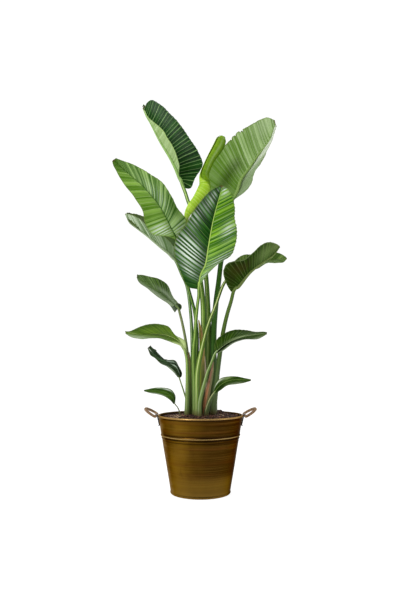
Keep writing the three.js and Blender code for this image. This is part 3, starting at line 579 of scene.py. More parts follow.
def blade_material(name, look):
    """A leaf blade: veins, tones between them, pale midrib, an underside of its own colours, and painted
    sheen, painted highlights and painted shade.
    """
    m = Shader(name)
    u, share, vein, off, face = (m.attribute(key) for key in ("u", "share", "vein", "off", "face"))
    is_right = m.ramp(share, -0.001, 0.001)

    def own(key):
        left, right = (of_half(look, side, key) for side in ("left", "right"))
        return left if left == right else m.mix(is_right, left, right)

    def nearness(half, at_u, spread_u, at_share, spread_share):
        """1 at a place on one half of the blade, fading round it."""
        far_u = (u - at_u) / spread_u
        far_share = (share * half - at_share) / spread_share
        return m.math("EXPONENT", (far_u * far_u + far_share * far_share) * -1.0)

    spots = m.noise(m.place(), 35, 2)
    blotch = m.noise(m.place(), 8, 3)
    phase = spots * 0.1 + vein
    strand = is_right * RIGHT_STRANDS + phase
    line = abs(m.math("SINE", phase * math.pi))
    vein_line = m.ramp(line, 0.0, look["line"], 1.0, 0.0) * (m.chance(m.math("ROUND", strand)) * 0.75 + 0.25)
    band = m.line_noise(strand, 0.62, 2)
    streak = m.line_noise(strand, 6.5, 2)
    pleat = m.chance(m.math("FLOOR", strand * 2.0))
    tones = pleat * look["pleat_tone"] + band * look["band_tone"] + streak * 0.3 + blotch * 0.45
    middle = (look["pleat_tone"] + look["band_tone"] + 0.75) / 2
    tones = m.ramp(tones, middle - 0.32, middle + 0.32)

    upper = m.mix(tones, own("dark"), own("light"))
    upper = m.mix(vein_line * look["vein_strength"], upper, own("veins_light"))
    under = m.mix(tones, own("under_dark"), own("under_light"))
    under = m.mix(vein_line * look["under_vein_strength"], under, own("under_veins"))
    m.colour = m.mix(face, upper, under)
    for low, high, shade, strength in look["shades"]:
        m.paint(shade, u, low, high, 0.0, strength)
    # painted reflection: pale streaks between the veins
    for *where, strength in look["painted_sheen"]:
        m.lay(look["painted_sheen_colour"], nearness(*where) * strength * m.ramp(pleat * 0.5 + line, 0.75, 1.15))
    # patches of colour: some painted highlights and painted shadows, others the leaf's own tones
    for *where, strength, shade in look["patches"]:
        m.lay(shade, nearness(*where) * strength)

    off_rib = off / ((1.0 - u) * look["rib_width"] + 0.9)
    on_rib = m.ramp(off_rib, 0.55, 1.0, 1.0, 0.0)
    m.lay(own("dark"), m.ramp(off_rib, 0.9, 2.8, look["rib_shadow"], 0.0) * (1.0 - on_rib))
    m.lay(look["rib"], on_rib * look["rib_strength"])
    rims = zip(of_half(look, "left", "rim_at"), of_half(look, "right", "rim_at"))
    rim_from, rim_to = (is_right * (right - left) + left for left, right in rims)
    m.paint(own("rim"), abs(share), rim_from, rim_to, 0.0, look["rim_strength"])
    m.paint(DRY_TIP, spots * 0.03 + u, 0.985, 1.012, 0.0, 0.8)

    m.set(Base_Color=m.colour, Roughness=streak * 0.16 + face * 0.18 + (look["roughness"] - 0.06),
          IOR=1.45, Specular_IOR_Level=look["specular"])
    fine = m.noise(m.place(), 420, 2)
    m.bump(streak * 0.7 + vein_line * -0.5 + fine * 0.2, 0.0008, 0.7)
    return m.material


def stalk_material(name, low, high, rib, look):
    """A leaf stalk: fibres, a painted highlight line and painted shade down its sides, brown at the soil, and
    the midrib's colour in the blade.
    """
    m = Shader(name)
    along = m.attribute("along")
    around = m.vector(m.attribute("around_x") * 3.2, m.attribute("around_y") * 3.2, along * 0.005)
    fibres = m.noise(around, 1.7, 4, 0.65)
    broad = m.noise(around, 0.55, 2)
    specks = m.noise(m.place(), 260, 2)
    side = (broad - 0.5) * 0.5 + m.attribute("side")
    m.colour = m.mix(m.ramp(along, 60, look["high_from"]), low, high)
    m.paint(look["fibre"], fibres, 0.36, 0.62, look["fibre_strength"], 0.0)
    m.paint(look["shadow"], side, 0.1, 0.85, 0.0, look["shadow_strength"])
    m.paint(look["shadow"], side, -0.7, -0.95, 0.0, 0.4)
    # painted highlight: a pale line down the stalk's lit side
    painted_highlight = m.ramp(abs(side - look["painted_highlight_at"]), 0.04, 0.34, look["painted_highlight_strength"], 0.0)
    m.lay(look["painted_highlight"], painted_highlight * (fibres * 0.9 + 0.35))
    m.paint((150, 168, 116), along, 60, 300, 0.32, 0.0)  # paler towards the foot
    m.paint((104, 82, 48), fibres * 40 + along, 48, 76, 0.75, 0.0)  # ragged brown at the soil
    m.paint((72, 58, 32), specks, 0.68, 0.76, 0.0, 0.45)
    m.paint(rib, m.attribute("run"), 0.93, 1.03)
    m.set(Base_Color=m.colour, Roughness=fibres * 0.25 + 0.3, IOR=1.45, Specular_IOR_Level=0.25)
    m.bump(specks * 0.2 + fibres, 0.0012, 0.75)
    return m.material


def sheath_material(name, dark, light, foot, foot_to, turned, turned_side):
    """A dry leaf base: papery, with fibres and torn pale edges, still fresh toward its foot."""
    m = Shader(name)
    share = m.attribute("share")
    fibres = m.noise(m.vector(share * 7, m.attribute("u") * 1.6), 1.3, 4, 0.65)
    blotch = m.noise(m.place(), 55, 3)
    m.colour = m.mix(m.ramp(fibres, 0.32, 0.68), dark, light)
    m.paint((64, 42, 26), blotch, 0.55, 0.75, 0.0, 0.6)
    m.paint(foot, fibres * 0.2 + m.attribute("rise"), foot_to - 0.1, foot_to + 0.25, 0.85, 0.0)
    m.paint(turned, fibres * 0.5 + share * turned_side, 0.1, 0.65, 0.0, 0.9)
    m.paint((196, 170, 128), abs(share), 0.8, 0.99, 0.0, 0.35)
    m.set(Base_Color=m.colour, Roughness=fibres * 0.2 + 0.62, IOR=1.45)
    m.set(Sheen_Weight=0.15, Sheen_Roughness=0.5)
    m.bump(blotch * 0.5 + fibres, 0.0012, 0.8)
    return m.material


# The bucket's wall is WALL_RADIUS at the ground and widens by WALL_TAPER of the height
WALL_RADIUS = 106.3
WALL_TAPER = 0.176
CREST_HEIGHT = 0.2055
# Painted shade in lines round the wall, in its grooves, under the bead and above the foot: height in metres,
# half width and strength
WALL_SHADE_LINES = [(0.2118, 0.0034, 1.0), (0.1988, 0.0034, 1.0), (0.1895, 0.0022, 0.8), (0.2168, 0.001, 0.6),
              (0.0088, 0.0012, 0.7), (0.2672, 0.0034, 1.0)]


def bucket_material():
    """Antique bronze, brushed round the wall and clouded by tarnish; painted shade to the right, in the
    grooves, under the bead, down the right edge and inside; painted highlights down the middle, on the crest
    and on the bead, and a painted reflection down the left edge.
    """
    m = Shader("antique_bronze")
    side, back, height = (m.node("ShaderNodeSeparateXYZ", {0: m.place()}, axis) for axis in "XYZ")
    brushed = m.noise(m.place(4, 4, 850), 1, 3, 0.6)
    bands = m.noise(m.place(2, 2, 70), 1, 3, 0.55)
    patches = m.noise(m.place(1, 1, 0.6), 11, 3, 0.55)
    tarnish = m.noise(m.place(1, 1, 0.7), 34, 5, 0.7)
    m.colour = m.mix(m.ramp(patches, 0.34, 0.66), (66, 43, 5), (94, 67, 12))
    shade_and_highlight_across = patches * 0.05 + bands * 0.05 + side
    m.paint((46, 26, 3), shade_and_highlight_across, 0.0, 0.085, 0.0, 0.85)  # painted shade to the right
    m.paint((132, 98, 26), abs(shade_and_highlight_across + 0.03), 0.0, 0.05, 0.4, 0.0)  # painted highlight down the middle
    m.paint((88, 50, 16), bands, 0.45, 0.7, 0.0, 0.5)
    m.paint((140, 108, 48), brushed, 0.45, 0.7, 0.0, 0.3)
    m.paint((58, 40, 12), tarnish, 0.56, 0.76, 0.0, 0.4)
    m.paint((124, 96, 34), abs(bands * 0.02 + height - 0.055), 0.0, 0.04, 0.5, 0.0)  # pale band low down
    m.paint((134, 104, 44), height, 0.04, 0.006, 0.0, 0.55)
    for at, width, strength in WALL_SHADE_LINES:
        m.paint((34, 20, 8), abs(height - at), 0.0, width, strength, 0.0)
    # painted highlight along the crest
    m.paint((190, 162, 108), abs(height - CREST_HEIGHT), 0.0, 0.0019, 0.85, 0.0)
    round_wall = side / (height * WALL_TAPER + WALL_RADIUS * MM)
    # painted reflection down the left edge, broken up by tarnish and bands and faint at the back
    painted_edge_reflection = m.ramp(tarnish * 0.24 + bands * 0.16 + round_wall, -0.64, -0.84, 0.0, 0.55)
    m.lay((170, 144, 110), painted_edge_reflection * m.ramp(back, -0.01, 0.09, 1.0, 0.15))
    # painted shade down the right edge
    m.paint((26, 14, 4), round_wall, 0.82, 0.99, 0.0, 0.7)
    m.paint((194, 158, 100), height, 0.27, 0.273, 0.0, 0.85)  # painted highlight on the rim's bead
    # painted shade inside the bucket
    m.lay((38, 26, 14), m.attribute("inside") * 0.85)
    m.set(Base_Color=m.colour, Metallic=1.0, Specular_Tint=(0.5, 0.43, 0.35, 1.0),
          Roughness=brushed * 0.14 + tarnish * 0.2 + 0.24)
    m.bump(brushed * 0.35 + tarnish * 0.8, 0.0004, 0.6)
    return m.material


def dark_metal_material(name, dark, light, metallic):
    m = Shader(name)
    wear = m.noise(m.place(), 140, 4, 0.6)
    grain = m.noise(m.place(), 700, 2)
    colour = m.mix(m.ramp(wear, 0.42, 0.72), dark, light)
    m.set(Base_Color=colour, Metallic=metallic, Roughness=wear * 0.25 + 0.3)
    m.bump(grain * 0.4 + wear, 0.0004, 0.6)
    return m.material


def twine_material():
    """Jute cord: twisted strands, with painted shade between the turns."""
    m = Shader("jute_twine")
    along, around = m.attribute("along"), m.attribute("around")
    twist = m.math("SINE", along * 2.6 + around * 2.0)
    hairs = m.noise(m.vector(along * 0.9, around * 2.2), 2.2, 4, 0.7)
    m.colour = m.mix(m.ramp(hairs, 0.3, 0.7), (134, 100, 64), (194, 154, 106))
    # painted shade in the grooves between the twisted strands
    m.paint((90, 58, 38), twist, -1.0, -0.2, 0.6, 0.0)
    m.paint((108, 68, 42), m.noise(m.place(), 90, 3), 0.5, 0.72, 0.0, 0.5)
    m.set(Base_Color=m.colour, Roughness=0.88, IOR=1.4, Sheen_Weight=0.3, Sheen_Roughness=0.6)
    m.bump(hairs * 0.8 + twist * 0.5, 0.0004, 0.9)
    return m.material


def soil_material():
    """Bark compost: crumbs and chips from near black to red-brown."""
    m = Shader("bark_compost")
    tint = m.attribute("tint")
    crumbs = m.noise(m.place(), 240, 4, 0.7)
    m.colour = m.mix(m.ramp(crumbs, 0.3, 0.75), (26, 16, 12), (84, 58, 44))
    m.paint((98, 60, 44), tint, 0.35, 0.8, 0.0, 0.85)
    m.paint((160, 118, 88), tint, 0.86, 1.0, 0.0, 0.85)
    m.paint((52, 32, 34), m.noise(m.place(), 38, 3), 0.5, 0.75, 0.0, 0.5)
    m.set(Base_Color=m.colour, Roughness=crumbs * 0.3 + 0.62, IOR=1.4)
    m.bump(crumbs, 0.0016, 0.9)
    return m.material


def fibre_material():
    m = Shader("bark_fibre")
    fibres = m.noise(m.vector(m.attribute("share") * 5, m.attribute("u") * 1.4), 1.4, 4, 0.7)
    m.set(Base_Color=m.mix(m.ramp(fibres, 0.3, 0.7), (150, 112, 84), (240, 210, 176)), Roughness=0.8, IOR=1.4)
    m.bump(fibres, 0.0009, 0.8)
    return m.material


# Leaves

# veins: in each half; crowding: above 1, how they crowd towards the foot
# sweep: powers that set where along the margin they end, near the foot and near the tip
# line: how wide their lines are; pleat_tone, band_tone: how strongly single pleats and broad bands differ
# ripple, wave: height of the pleats and of the broad waves; hem: width of the hem
# scallop, ragged: share of the width by which the margin swells at each vein, and varies between them
# shades: along the midrib from none to all, colour, strength
# painted sheen: pale streaks of painted reflection between the veins; 1 on the right half or -1 on the left,
# middle and spread along and across, strength
# patches: as the painted sheen, and then the colour; they take no account of the veins. Some are painted
# highlights and painted shadows, others the leaf's own tones
# rim_at: shares of the width where the rim's colour begins and is full
# curls: half, middle and spread along the midrib, width folded over, degrees, 1 towards the upper side
# notches: half, place in the drawing, share of the width torn in, rows of the blade it takes
DEFAULT_LOOK = {
    "veins": 26, "crowding": 1.25, "sweep": {"left": (0.9, 1.35), "right": (0.9, 1.35)},
    "dark": (30, 66, 14), "light": (88, 132, 42), "veins_light": (140, 172, 92), "vein_strength": 0.5,
    "under_dark": (70, 98, 34), "under_light": (118, 144, 74), "under_veins": (158, 178, 120),
    "under_vein_strength": 0.5, "line": 0.55, "left_half": {}, "right_half": {}, "shades": [], "painted_sheen": [],
    "painted_sheen_colour": (206, 222, 200), "rib": (150, 176, 92), "rib_width": 2.6, "rib_strength": 0.9,
    "rib_shadow": 0.35, "rim": (104, 118, 56), "rim_at": (0.955, 1.0), "rim_strength": 0.45,
    "roughness": 0.4, "specular": 0.12, "ripple": 0.45, "wave": 1.2, "scallop": 0.006, "ragged": 0.004,
    "curls": [], "notches": [], "patches": [], "pleat_tone": 0.55, "band_tone": 0.5, "hem": 1.6, "seed": 1,
}

LOOKS = {
    "leaf_top_left": {
        "veins": 30, "crowding": 1.1, "sweep": {"left": (0.8, 1), "right": (0.7, 1)}, "dark": (2, 40, 0),
        "light": (24, 80, 2), "veins_light": (156, 196, 124), "vein_strength": 0.9, "line": 0.42,
        "pleat_tone": 0.4, "band_tone": 0.25, "hem": 0.5, "under_dark": (136, 164, 98),
        "under_light": (170, 194, 138), "under_veins": (186, 208, 154), "rib": (150, 184, 108),
        "rib_shadow": 0.1, "ripple": 0.4, "wave": 1.5, "rim": (150, 178, 100), "rim_at": (0.84, 1.0),
        "rim_strength": 0.75, "right_half": {"under_dark": (48, 100, 0), "under_light": (96, 146, 10),
            "under_veins": (120, 165, 40), "rim": (150, 190, 130), "rim_at": (1.11, 1.14)},
        "notches": [("right", -204, 1455, 0.45, 5)], "curls": [("right", 0.87, 0.5, 17, 150, -1)], "seed": 4,
    },
    "leaf_top_right": {
        "veins": 30, "crowding": 1.6, "sweep": {"left": (0.4, 1), "right": (0.4, 1)},
        "under_dark": (92, 128, 44), "under_light": (160, 188, 124), "under_veins": (206, 220, 186),
        "under_vein_strength": 0.7, "line": 0.36, "dark": (40, 76, 22), "light": (86, 128, 46),
        "left_half": {"under_dark": (176, 190, 160), "under_light": (220, 228, 210),
            "under_veins": (232, 238, 226), "dark": (176, 190, 160), "light": (220, 228, 210),
            "veins_light": (232, 238, 226)}, "rib": (128, 158, 80), "rib_strength": 0.5, "rib_width": 1.6,
        "rib_shadow": 0.15, "ripple": 0.5, "wave": 2.5, "ragged": 0.014,
        "shades": [(0.5, 0.05, (78, 118, 4), 0.7)], "notches": [("right", 158, 1355, 0.06, 1.6),
            ("right", 152, 1349, 0.05, 1.6), ("right", 115, 1325, 0.06, 1.6), ("right", 132, 1338, 0.04, 1.6),
            ("right", 82, 1282, 0.05, 1.6)], "patches": [(1, 0.8, 0.2, 0.7, 0.5, 0.3, (190, 206, 168))],
        "curls": [("left", 0.2, 0.18, 7, 150, 1)], "seed": 5,
    },
    "leaf_left_broad": {
        "veins": 30, "sweep": {"left": (0.9, 1.35), "right": (1, 1.78)}, "dark": (76, 122, 8),
        "light": (138, 180, 74), "veins_light": (186, 214, 136), "right_half": {"dark": (48, 98, 0),
            "light": (160, 196, 112), "veins_light": (190, 216, 150)}, "rib": (40, 80, 6), "rib_width": 1.4,
        "ripple": 0.5, "wave": 1.5, "line": 0.42, "shades": [(0.72, 0.92, (60, 102, 4), 0.75)],
        "painted_sheen": [(-1, 0.13, 0.07, 0.55, 0.45, 1.2), (1, 0.42, 0.2, 0.3, 0.3, 0.4),
            (1, 0.05, 0.05, 0.5, 0.4, 0.9)], "patches": [(1, 0.17, 0.08, 0.9, 0.35, 0.6, (54, 96, 4)),
            (-1, 0.98, 0.1, 0.5, 0.6, 0.3, (40, 76, 2))], "curls": [("right", 0.98, 0.05, 4, 160, 1)],
        "seed": 6,
    },
    "leaf_left_rear": {
        "veins": 22, "sweep": {"left": (1, 2.2), "right": (1, 2.2)}, "dark": (44, 64, 14),
        "light": (74, 94, 30), "under_dark": (92, 120, 70), "under_light": (192, 208, 178),
        "under_veins": (66, 94, 48), "under_vein_strength": 0.8, "line": 0.5, "veins_light": (96, 118, 60),
        "shades": [(0.42, 0.1, (56, 92, 18), 0.7)], "rib": (150, 168, 130), "ripple": 0.5, "wave": 1.0,
        "right_half": {"under_dark": (50, 70, 20), "under_light": (84, 106, 44)},
        "curls": [("right", 0.85, 0.2, 8, 150, 1)], "seed": 7,
    },
    "leaf_front_broad": {
        "veins": 30, "sweep": {"left": (0.57, 1), "right": (0.65, 1)}, "dark": (2, 42, 0),
        "light": (30, 88, 2), "veins_light": (130, 172, 92), "vein_strength": 0.45,
        # painted light and shade: the right half is coloured brighter than the left, as the two halves face
        # the light differently
        "right_half": {"dark": (40, 98, 0), "light": (132, 182, 40), "veins_light": (206, 230, 168)},
        "rib": (172, 204, 96), "rib_shadow": 0.3, "ripple": 0.55, "roughness": 0.34, "scallop": 0.012,
        "painted_sheen_colour": (214, 228, 212), "pleat_tone": 0.6, "band_tone": 0.4,
        "painted_sheen": [(-1, 0.8, 0.15, 0.55, 0.3, 0.42), (-1, 0.52, 0.12, 0.85, 0.25, 0.45),
            (-1, 0.25, 0.09, 0.55, 0.4, 1.4), (1, 0.2, 0.06, 0.6, 0.4, 1.15), (-1, 0.1, 0.04, 0.5, 0.3, 0.9),
            (1, 0.08, 0.035, 0.4, 0.4, 1.1), (1, 0.47, 0.08, 0.7, 0.25, 0.8), (1, 0.93, 0.06, 0.6, 0.4, 0.9)],
        "patches": [(-1, 0.0, 0.07, 0.7, 0.8, 0.8, (8, 62, 0)), (1, 0.0, 0.05, 0.6, 0.8, 0.7, (56, 104, 6)),
            (-1, 0.55, 0.5, 0.1, 0.12, 0.5, (4, 50, 0))], "curls": [("left", 0.97, 0.07, 5, 170, 1)],
        "seed": 8,
    },
    "leaf_right_front": {
        "veins": 24, "sweep": {"left": (0.95, 1.8), "right": (0.95, 1.8)}, "dark": (8, 34, 0),
        "light": (42, 76, 0), "veins_light": (130, 154, 90), "line": 0.4, "under_dark": (8, 32, 0),
        "under_light": (40, 74, 0), "under_veins": (134, 158, 92), "specular": 0.05,
        "under_vein_strength": 0.6, "vein_strength": 0.6, "rib": (96, 112, 52), "rib_width": 1.4,
        # its three pale patches are painted sheen; the brown one is its own tint
        "pleat_tone": 0.3, "band_tone": 0.3, "patches": [(1, 0.22, 0.2, 0.55, 0.35, 0.5, (62, 46, 14)),
            (1, 0.85, 0.16, 0.8, 0.4, 0.6, (112, 130, 74)), (1, 0.64, 0.16, 0.45, 0.4, 0.5, (116, 138, 78)),
            (-1, 0.64, 0.16, 0.45, 0.4, 0.4, (116, 138, 78)), (1, 0.1, 0.1, 0.5, 0.5, 0.4, (14, 40, 0))],
        "rim": (126, 142, 92), "seed": 9,
    },
    "leaf_right_rear": {
        "veins": 24, "dark": (54, 88, 12), "light": (114, 142, 66), "veins_light": (136, 160, 92),
        "under_dark": (54, 88, 12), "under_light": (114, 142, 66), "under_veins": (138, 160, 94),
        "rib": (110, 130, 60), "ripple": 0.4, "wave": 1.0, "seed": 10,
    },
    "leaf_left_small_1": {
        "veins": 20, "sweep": {"left": (1, 1.9), "right": (1, 1.9)}, "dark": (30, 62, 2),
        "light": (96, 128, 56), "veins_light": (176, 196, 156), "vein_strength": 0.7, "rib": (110, 136, 76),
        "rib_width": 1.6, "ripple": 0.4, "wave": 0.8, "line": 0.4, "pleat_tone": 0.35, "band_tone": 0.3,
        # the near-black entry at the foot is painted shade in the blade's twisted knot
        "shades": [(0.3, 0.1, (176, 192, 156), 0.6), (0.09, 0.055, (24, 46, 22), 0.92)],
        "patches": [(-1, 0.35, 0.35, 0.9, 0.4, 0.65, (168, 182, 154)),
            (-1, 0.2, 0.18, 0.0, 0.14, 0.85, (24, 50, 8)), (1, 0.3, 0.2, 0.2, 0.2, 0.5, (180, 196, 164))],
        "curls": [("right", 0.06, 0.1, 8, 230, 1), ("right", 0.95, 0.08, 5, 190, 1)], "seed": 11,
    },
    "leaf_left_small_2": {
        "veins": 20, "dark": (54, 86, 0), "light": (98, 130, 20), "veins_light": (140, 166, 84), "line": 0.4,
        "sweep": {"left": (0.95, 1.9), "right": (0.95, 1.9)}, "pleat_tone": 0.3, "band_tone": 0.25,
        "rib": (158, 178, 104), "rib_width": 1.6, "rib_shadow": 0.1, "ripple": 0.4, "wave": 0.8,
        "shades": [(0.17, 0.08, (206, 226, 150), 0.95)],
        # the patch of (30, 52, 4) beside the midrib is painted shadow
        "patches": [(-1, 0.55, 0.3, 0.95, 0.3, 0.75, (166, 182, 148)),
            (1, 0.5, 0.4, 0.95, 0.25, 0.5, (34, 66, 0)), (-1, 0.45, 0.3, 0.24, 0.16, 0.75, (30, 52, 4)),
            (-1, 0.27, 0.1, 0.7, 0.5, 0.6, (54, 86, 10))], "curls": [("right", 0.97, 0.05, 6, 190, 1)],
        "seed": 12,
    },
    "leaf_right_small_1": {
        "veins": 20, "dark": (18, 48, 0), "light": (58, 90, 0), "veins_light": (138, 160, 92), "line": 0.34,
        "specular": 0.06, "sweep": {"left": (0.95, 1.9), "right": (0.95, 1.9)}, "pleat_tone": 0.25,
        "band_tone": 0.25, "under_dark": (22, 40, 10), "under_light": (96, 116, 74),
        "under_veins": (150, 166, 128), "rib": (150, 168, 120), "rib_width": 1.4, "rib_shadow": 0.1,
        "ripple": 0.4, "wave": 0.8, "patches": [(1, 0.95, 0.45, 1.0, 0.3, 0.4, (142, 156, 112)),
            (1, 0.12, 0.34, 0.42, 0.34, 1.0, (6, 14, 6)), (1, 0.25, 0.3, 1.0, 0.16, 0.8, (164, 172, 156)),
            (-1, 0.5, 0.22, 0.08, 0.12, 0.7, (150, 168, 120)), (-1, 0.3, 0.3, 0.95, 0.2, 0.6, (14, 40, 0)),
            (-1, 0.75, 0.3, 0.95, 0.25, 0.5, (50, 60, 10))], "seed": 13,
    },
    "leaf_left_twisted": {
        "veins": 14, "dark": (2, 20, 0), "light": (30, 58, 18), "veins_light": (120, 144, 112),
        "vein_strength": 0.7, "rib": (60, 84, 44), "rib_width": 1.2, "ripple": 0.5, "wave": 1.6,
        "roughness": 0.28, "under_dark": (20, 44, 16), "under_light": (70, 98, 58),
        "under_veins": (120, 140, 104), "sweep": {"left": (0.95, 2.2), "right": (0.95, 2.2)},
        # its near-white patches are painted sheen and its near-black ones painted shadow
        "patches": [(-1, 0.86, 0.08, 0.55, 0.25, 1.0, (206, 218, 196)),
            (1, 0.33, 0.13, 0.8, 0.09, 1.0, (196, 216, 198)),
            (-1, 0.1, 0.1, 0.85, 0.22, 0.9, (190, 208, 176)),
            (1, 0.2, 0.16, 0.38, 0.09, 0.95, (186, 208, 186)), (1, 0.0, 0.07, 0.6, 0.6, 0.95, (2, 8, 4)),
            (-1, 0.5, 0.2, 0.5, 0.3, 0.6, (72, 100, 62)), (-1, 0.86, 0.16, 0.05, 0.2, 0.8, (2, 18, 2)),
            (1, 0.12, 0.12, 0.6, 0.1, 0.9, (0, 12, 2))], "curls": [("left", 0.9, 0.12, 6, 200, 1),
            ("right", 0.45, 0.3, 5, 190, 1)], "seed": 14,
    },
    "leaf_right_small_2": {
        "veins": 16, "specular": 0.06, "dark": (16, 44, 0), "light": (50, 82, 0),
        "veins_light": (116, 144, 74), "line": 0.4, "under_dark": (30, 52, 14), "under_light": (90, 112, 64),
        "rib": (110, 136, 66), "rib_width": 1.3, "ripple": 0.35, "wave": 0.6, "pleat_tone": 0.3,
        # its near-white patch near the foot is a painted highlight
        "band_tone": 0.3, "rib_shadow": 0.15, "patches": [(-1, 0.14, 0.12, 0.82, 0.16, 1.0, (214, 226, 196)),
            (-1, 0.36, 0.08, 0.75, 0.3, 0.6, (150, 174, 110)), (1, 0.15, 0.2, 0.5, 0.6, 0.8, (18, 42, 4)),
            (1, 0.5, 0.2, 0.95, 0.25, 0.6, (140, 152, 122)), (-1, 0.8, 0.3, 0.9, 0.4, 0.4, (40, 72, 2))],
        "seed": 15,
    },
    "leaf_left_lowest": {
        "veins": 14, "specular": 0.06, "dark": (20, 52, 0), "light": (70, 106, 16),
        "veins_light": (140, 166, 110), "line": 0.4, "sweep": {"left": (0.95, 1.9), "right": (0.95, 1.9)},
        "pleat_tone": 0.35, "band_tone": 0.3, "rib": (90, 122, 60), "rib_width": 1.2, "ripple": 0.3,
        "wave": 0.5, "shades": [(0.2, 0.02, (22, 46, 12), 0.85)],
        "patches": [(1, 0.25, 0.09, 0.82, 0.13, 1.0, (212, 224, 206)),
            (1, 0.42, 0.06, 0.9, 0.1, 0.9, (180, 200, 170)), (-1, 0.4, 0.2, 1.0, 0.16, 0.8, (190, 202, 186)),
            (1, 0.4, 0.25, 0.6, 0.2, 0.6, (16, 44, 0))], "seed": 16,
    },
    "leaf_furled": {
        "veins": 34, "dark": (142, 188, 18), "light": (186, 220, 74), "veins_light": (226, 240, 160),
        "line": 0.4, "pleat_tone": 0.3, "band_tone": 0.3, "under_dark": (80, 118, 0),
        "under_light": (112, 150, 2), "under_veins": (130, 164, 24), "under_vein_strength": 0.15,
        "rib": (160, 180, 80), "ripple": 0.12, "rim": (88, 116, 20), "rim_at": (0.93, 0.98), "specular": 0.15,
        # its dark band at share 0.53 is painted shadow down the right of the roll, and its pale line at share
        # 0.41 a painted highlight
        "patches": [(1, 0.75, 0.22, 0.53, 0.05, 0.7, (44, 76, 0)),
            (1, 0.72, 0.2, 0.27, 0.04, 0.5, (150, 190, 50)),
            (1, 0.7, 0.22, 0.41, 0.03, 0.55, (150, 176, 110)),
            (1, 0.42, 0.05, 0.74, 0.12, 0.5, (76, 110, 0))], "seed": 17,
    },
}


SOIL_EDGE = 266.0
SOIL_MOUND = 9.0
SOIL_HUMP = (60.0, 54.0, 14.0, 26.0)  # its place, rise and spread


def soil_height(x, y):
    mound = SOIL_MOUND * np.exp(-((np.hypot(x, y) / 100) ** 8))
    hump_x, hump_y, rise, spread = SOIL_HUMP
    from_hump = np.hypot(x - hump_x, y - hump_y) / spread
    return SOIL_EDGE + mound + rise * np.exp(-(from_hump**2) / 2)


STALK_SIDES = 20
STALK_GROOVE = 0.16  # depth of the groove along a stalk's upper side, in radii


def stalk_and_rib(leaf, blade, upward, sink, end):
    """The stalk's tube, running on under the blade as its midrib."""
    x, y = leaf["foot"]
    top = soil_height(x, y) + UPRIGHT_RISE
    foot = [[x, y, SOCKET_FLOOR + GAP], [x, y, (SOCKET_FLOOR + top) / 2], [x, y, top]]
    path = Curve(np.vstack([foot, spot(leaf["stalk"]), blade.at([0, 0.05])]))
    low, high = leaf["radii"]
    t = np.linspace(0, 1, max(24, int(path.length / 8)))
    u = np.linspace(0.06, end, 70)
    below = sink * np.interp(u, [0, 0.1, 1], [0.2, 0.75, 0.5]) * np.interp(u, [0, 1], [high, 0.9])
    points = np.vstack([path.at(t), blade.at(u) - upward(u) * below[:, None]])
    radii = np.concatenate([high + (low - high) * (1 - t) ** 1.1, np.interp(u, [0, 1], [high, 0.8])])
    part = tube_part(points[::-1], radii[::-1], STALK_SIDES, upward(np.array([end]))[0], material=1,
                     groove=STALK_GROOVE, values={"run": np.concatenate([t, 1 + u])[::-1]})
    part["values"]["along"] = part["values"]["along"].max() - part["values"]["along"]
    return part


def smoothed(rows, reach):
    """Rows of vectors averaged with their neighbours."""
    weights = np.hanning(2 * reach + 1)
    padded = np.pad(rows, ((reach, reach), (0, 0)), mode="edge")
    return np.stack([np.convolve(axis, weights / weights.sum(), "valid") for axis in padded.T], -1)


FOLD_RADIUS = 2.4  # how tightly a margin folds over
HEM_ANGLE = math.radians(50)  # how far it turns where it doesn't curl
ROWS_PER_VEIN = 6
COLUMNS_PER_HALF = 18
BLADE_THICKNESS = [1.5, 1.1, 0.7]  # at the midrib, halfway out and at the margin
ROLL_THICKNESS = 1.0
FULL_RELIEF = 45.0  # how wide half a blade is where its relief reaches full height


def folded_margin(points, upward, folded, angle):
    """Columns that carry a margin on over a tight fold; folded is the signed width of each row's flap."""
    edge, inward = points[:, -1], points[:, -1] - points[:, -4]
    along = unit(smoothed(np.gradient(edge, axis=0), 4))
    normal = unit(np.cross(along, inward))
    normal *= np.sign(np.sum(normal * upward, axis=1, keepdims=True))
    outward = np.cross(along, normal)
    outward *= np.sign(np.sum(outward * inward, axis=1, keepdims=True))
    over = normal * np.where(folded < 0, -1.0, 1.0)[:, None]
    length = np.maximum(np.abs(folded), 0.5)
    bent = np.minimum(angle, length / FOLD_RADIUS)[:, None]
    flat = np.maximum(length[:, None] - FOLD_RADIUS * bent, 0.15)
    bow = [edge + FOLD_RADIUS * (outward * np.sin(bent * share) + over * (1 - np.cos(bent * share)))
           for share in (0.25, 0.5, 0.75, 1.0)]
    onward = outward * np.cos(bent) + over * np.sin(bent)
    return np.stack(bow + [bow[-1] + onward * (flat * share) for share in (0.33, 0.67, 1.0)], 1)


def veined(phase):
    """The swell of a blade between its veins."""
    return 1 - 2 * np.abs(np.sin(math.pi * phase)) ** 0.8


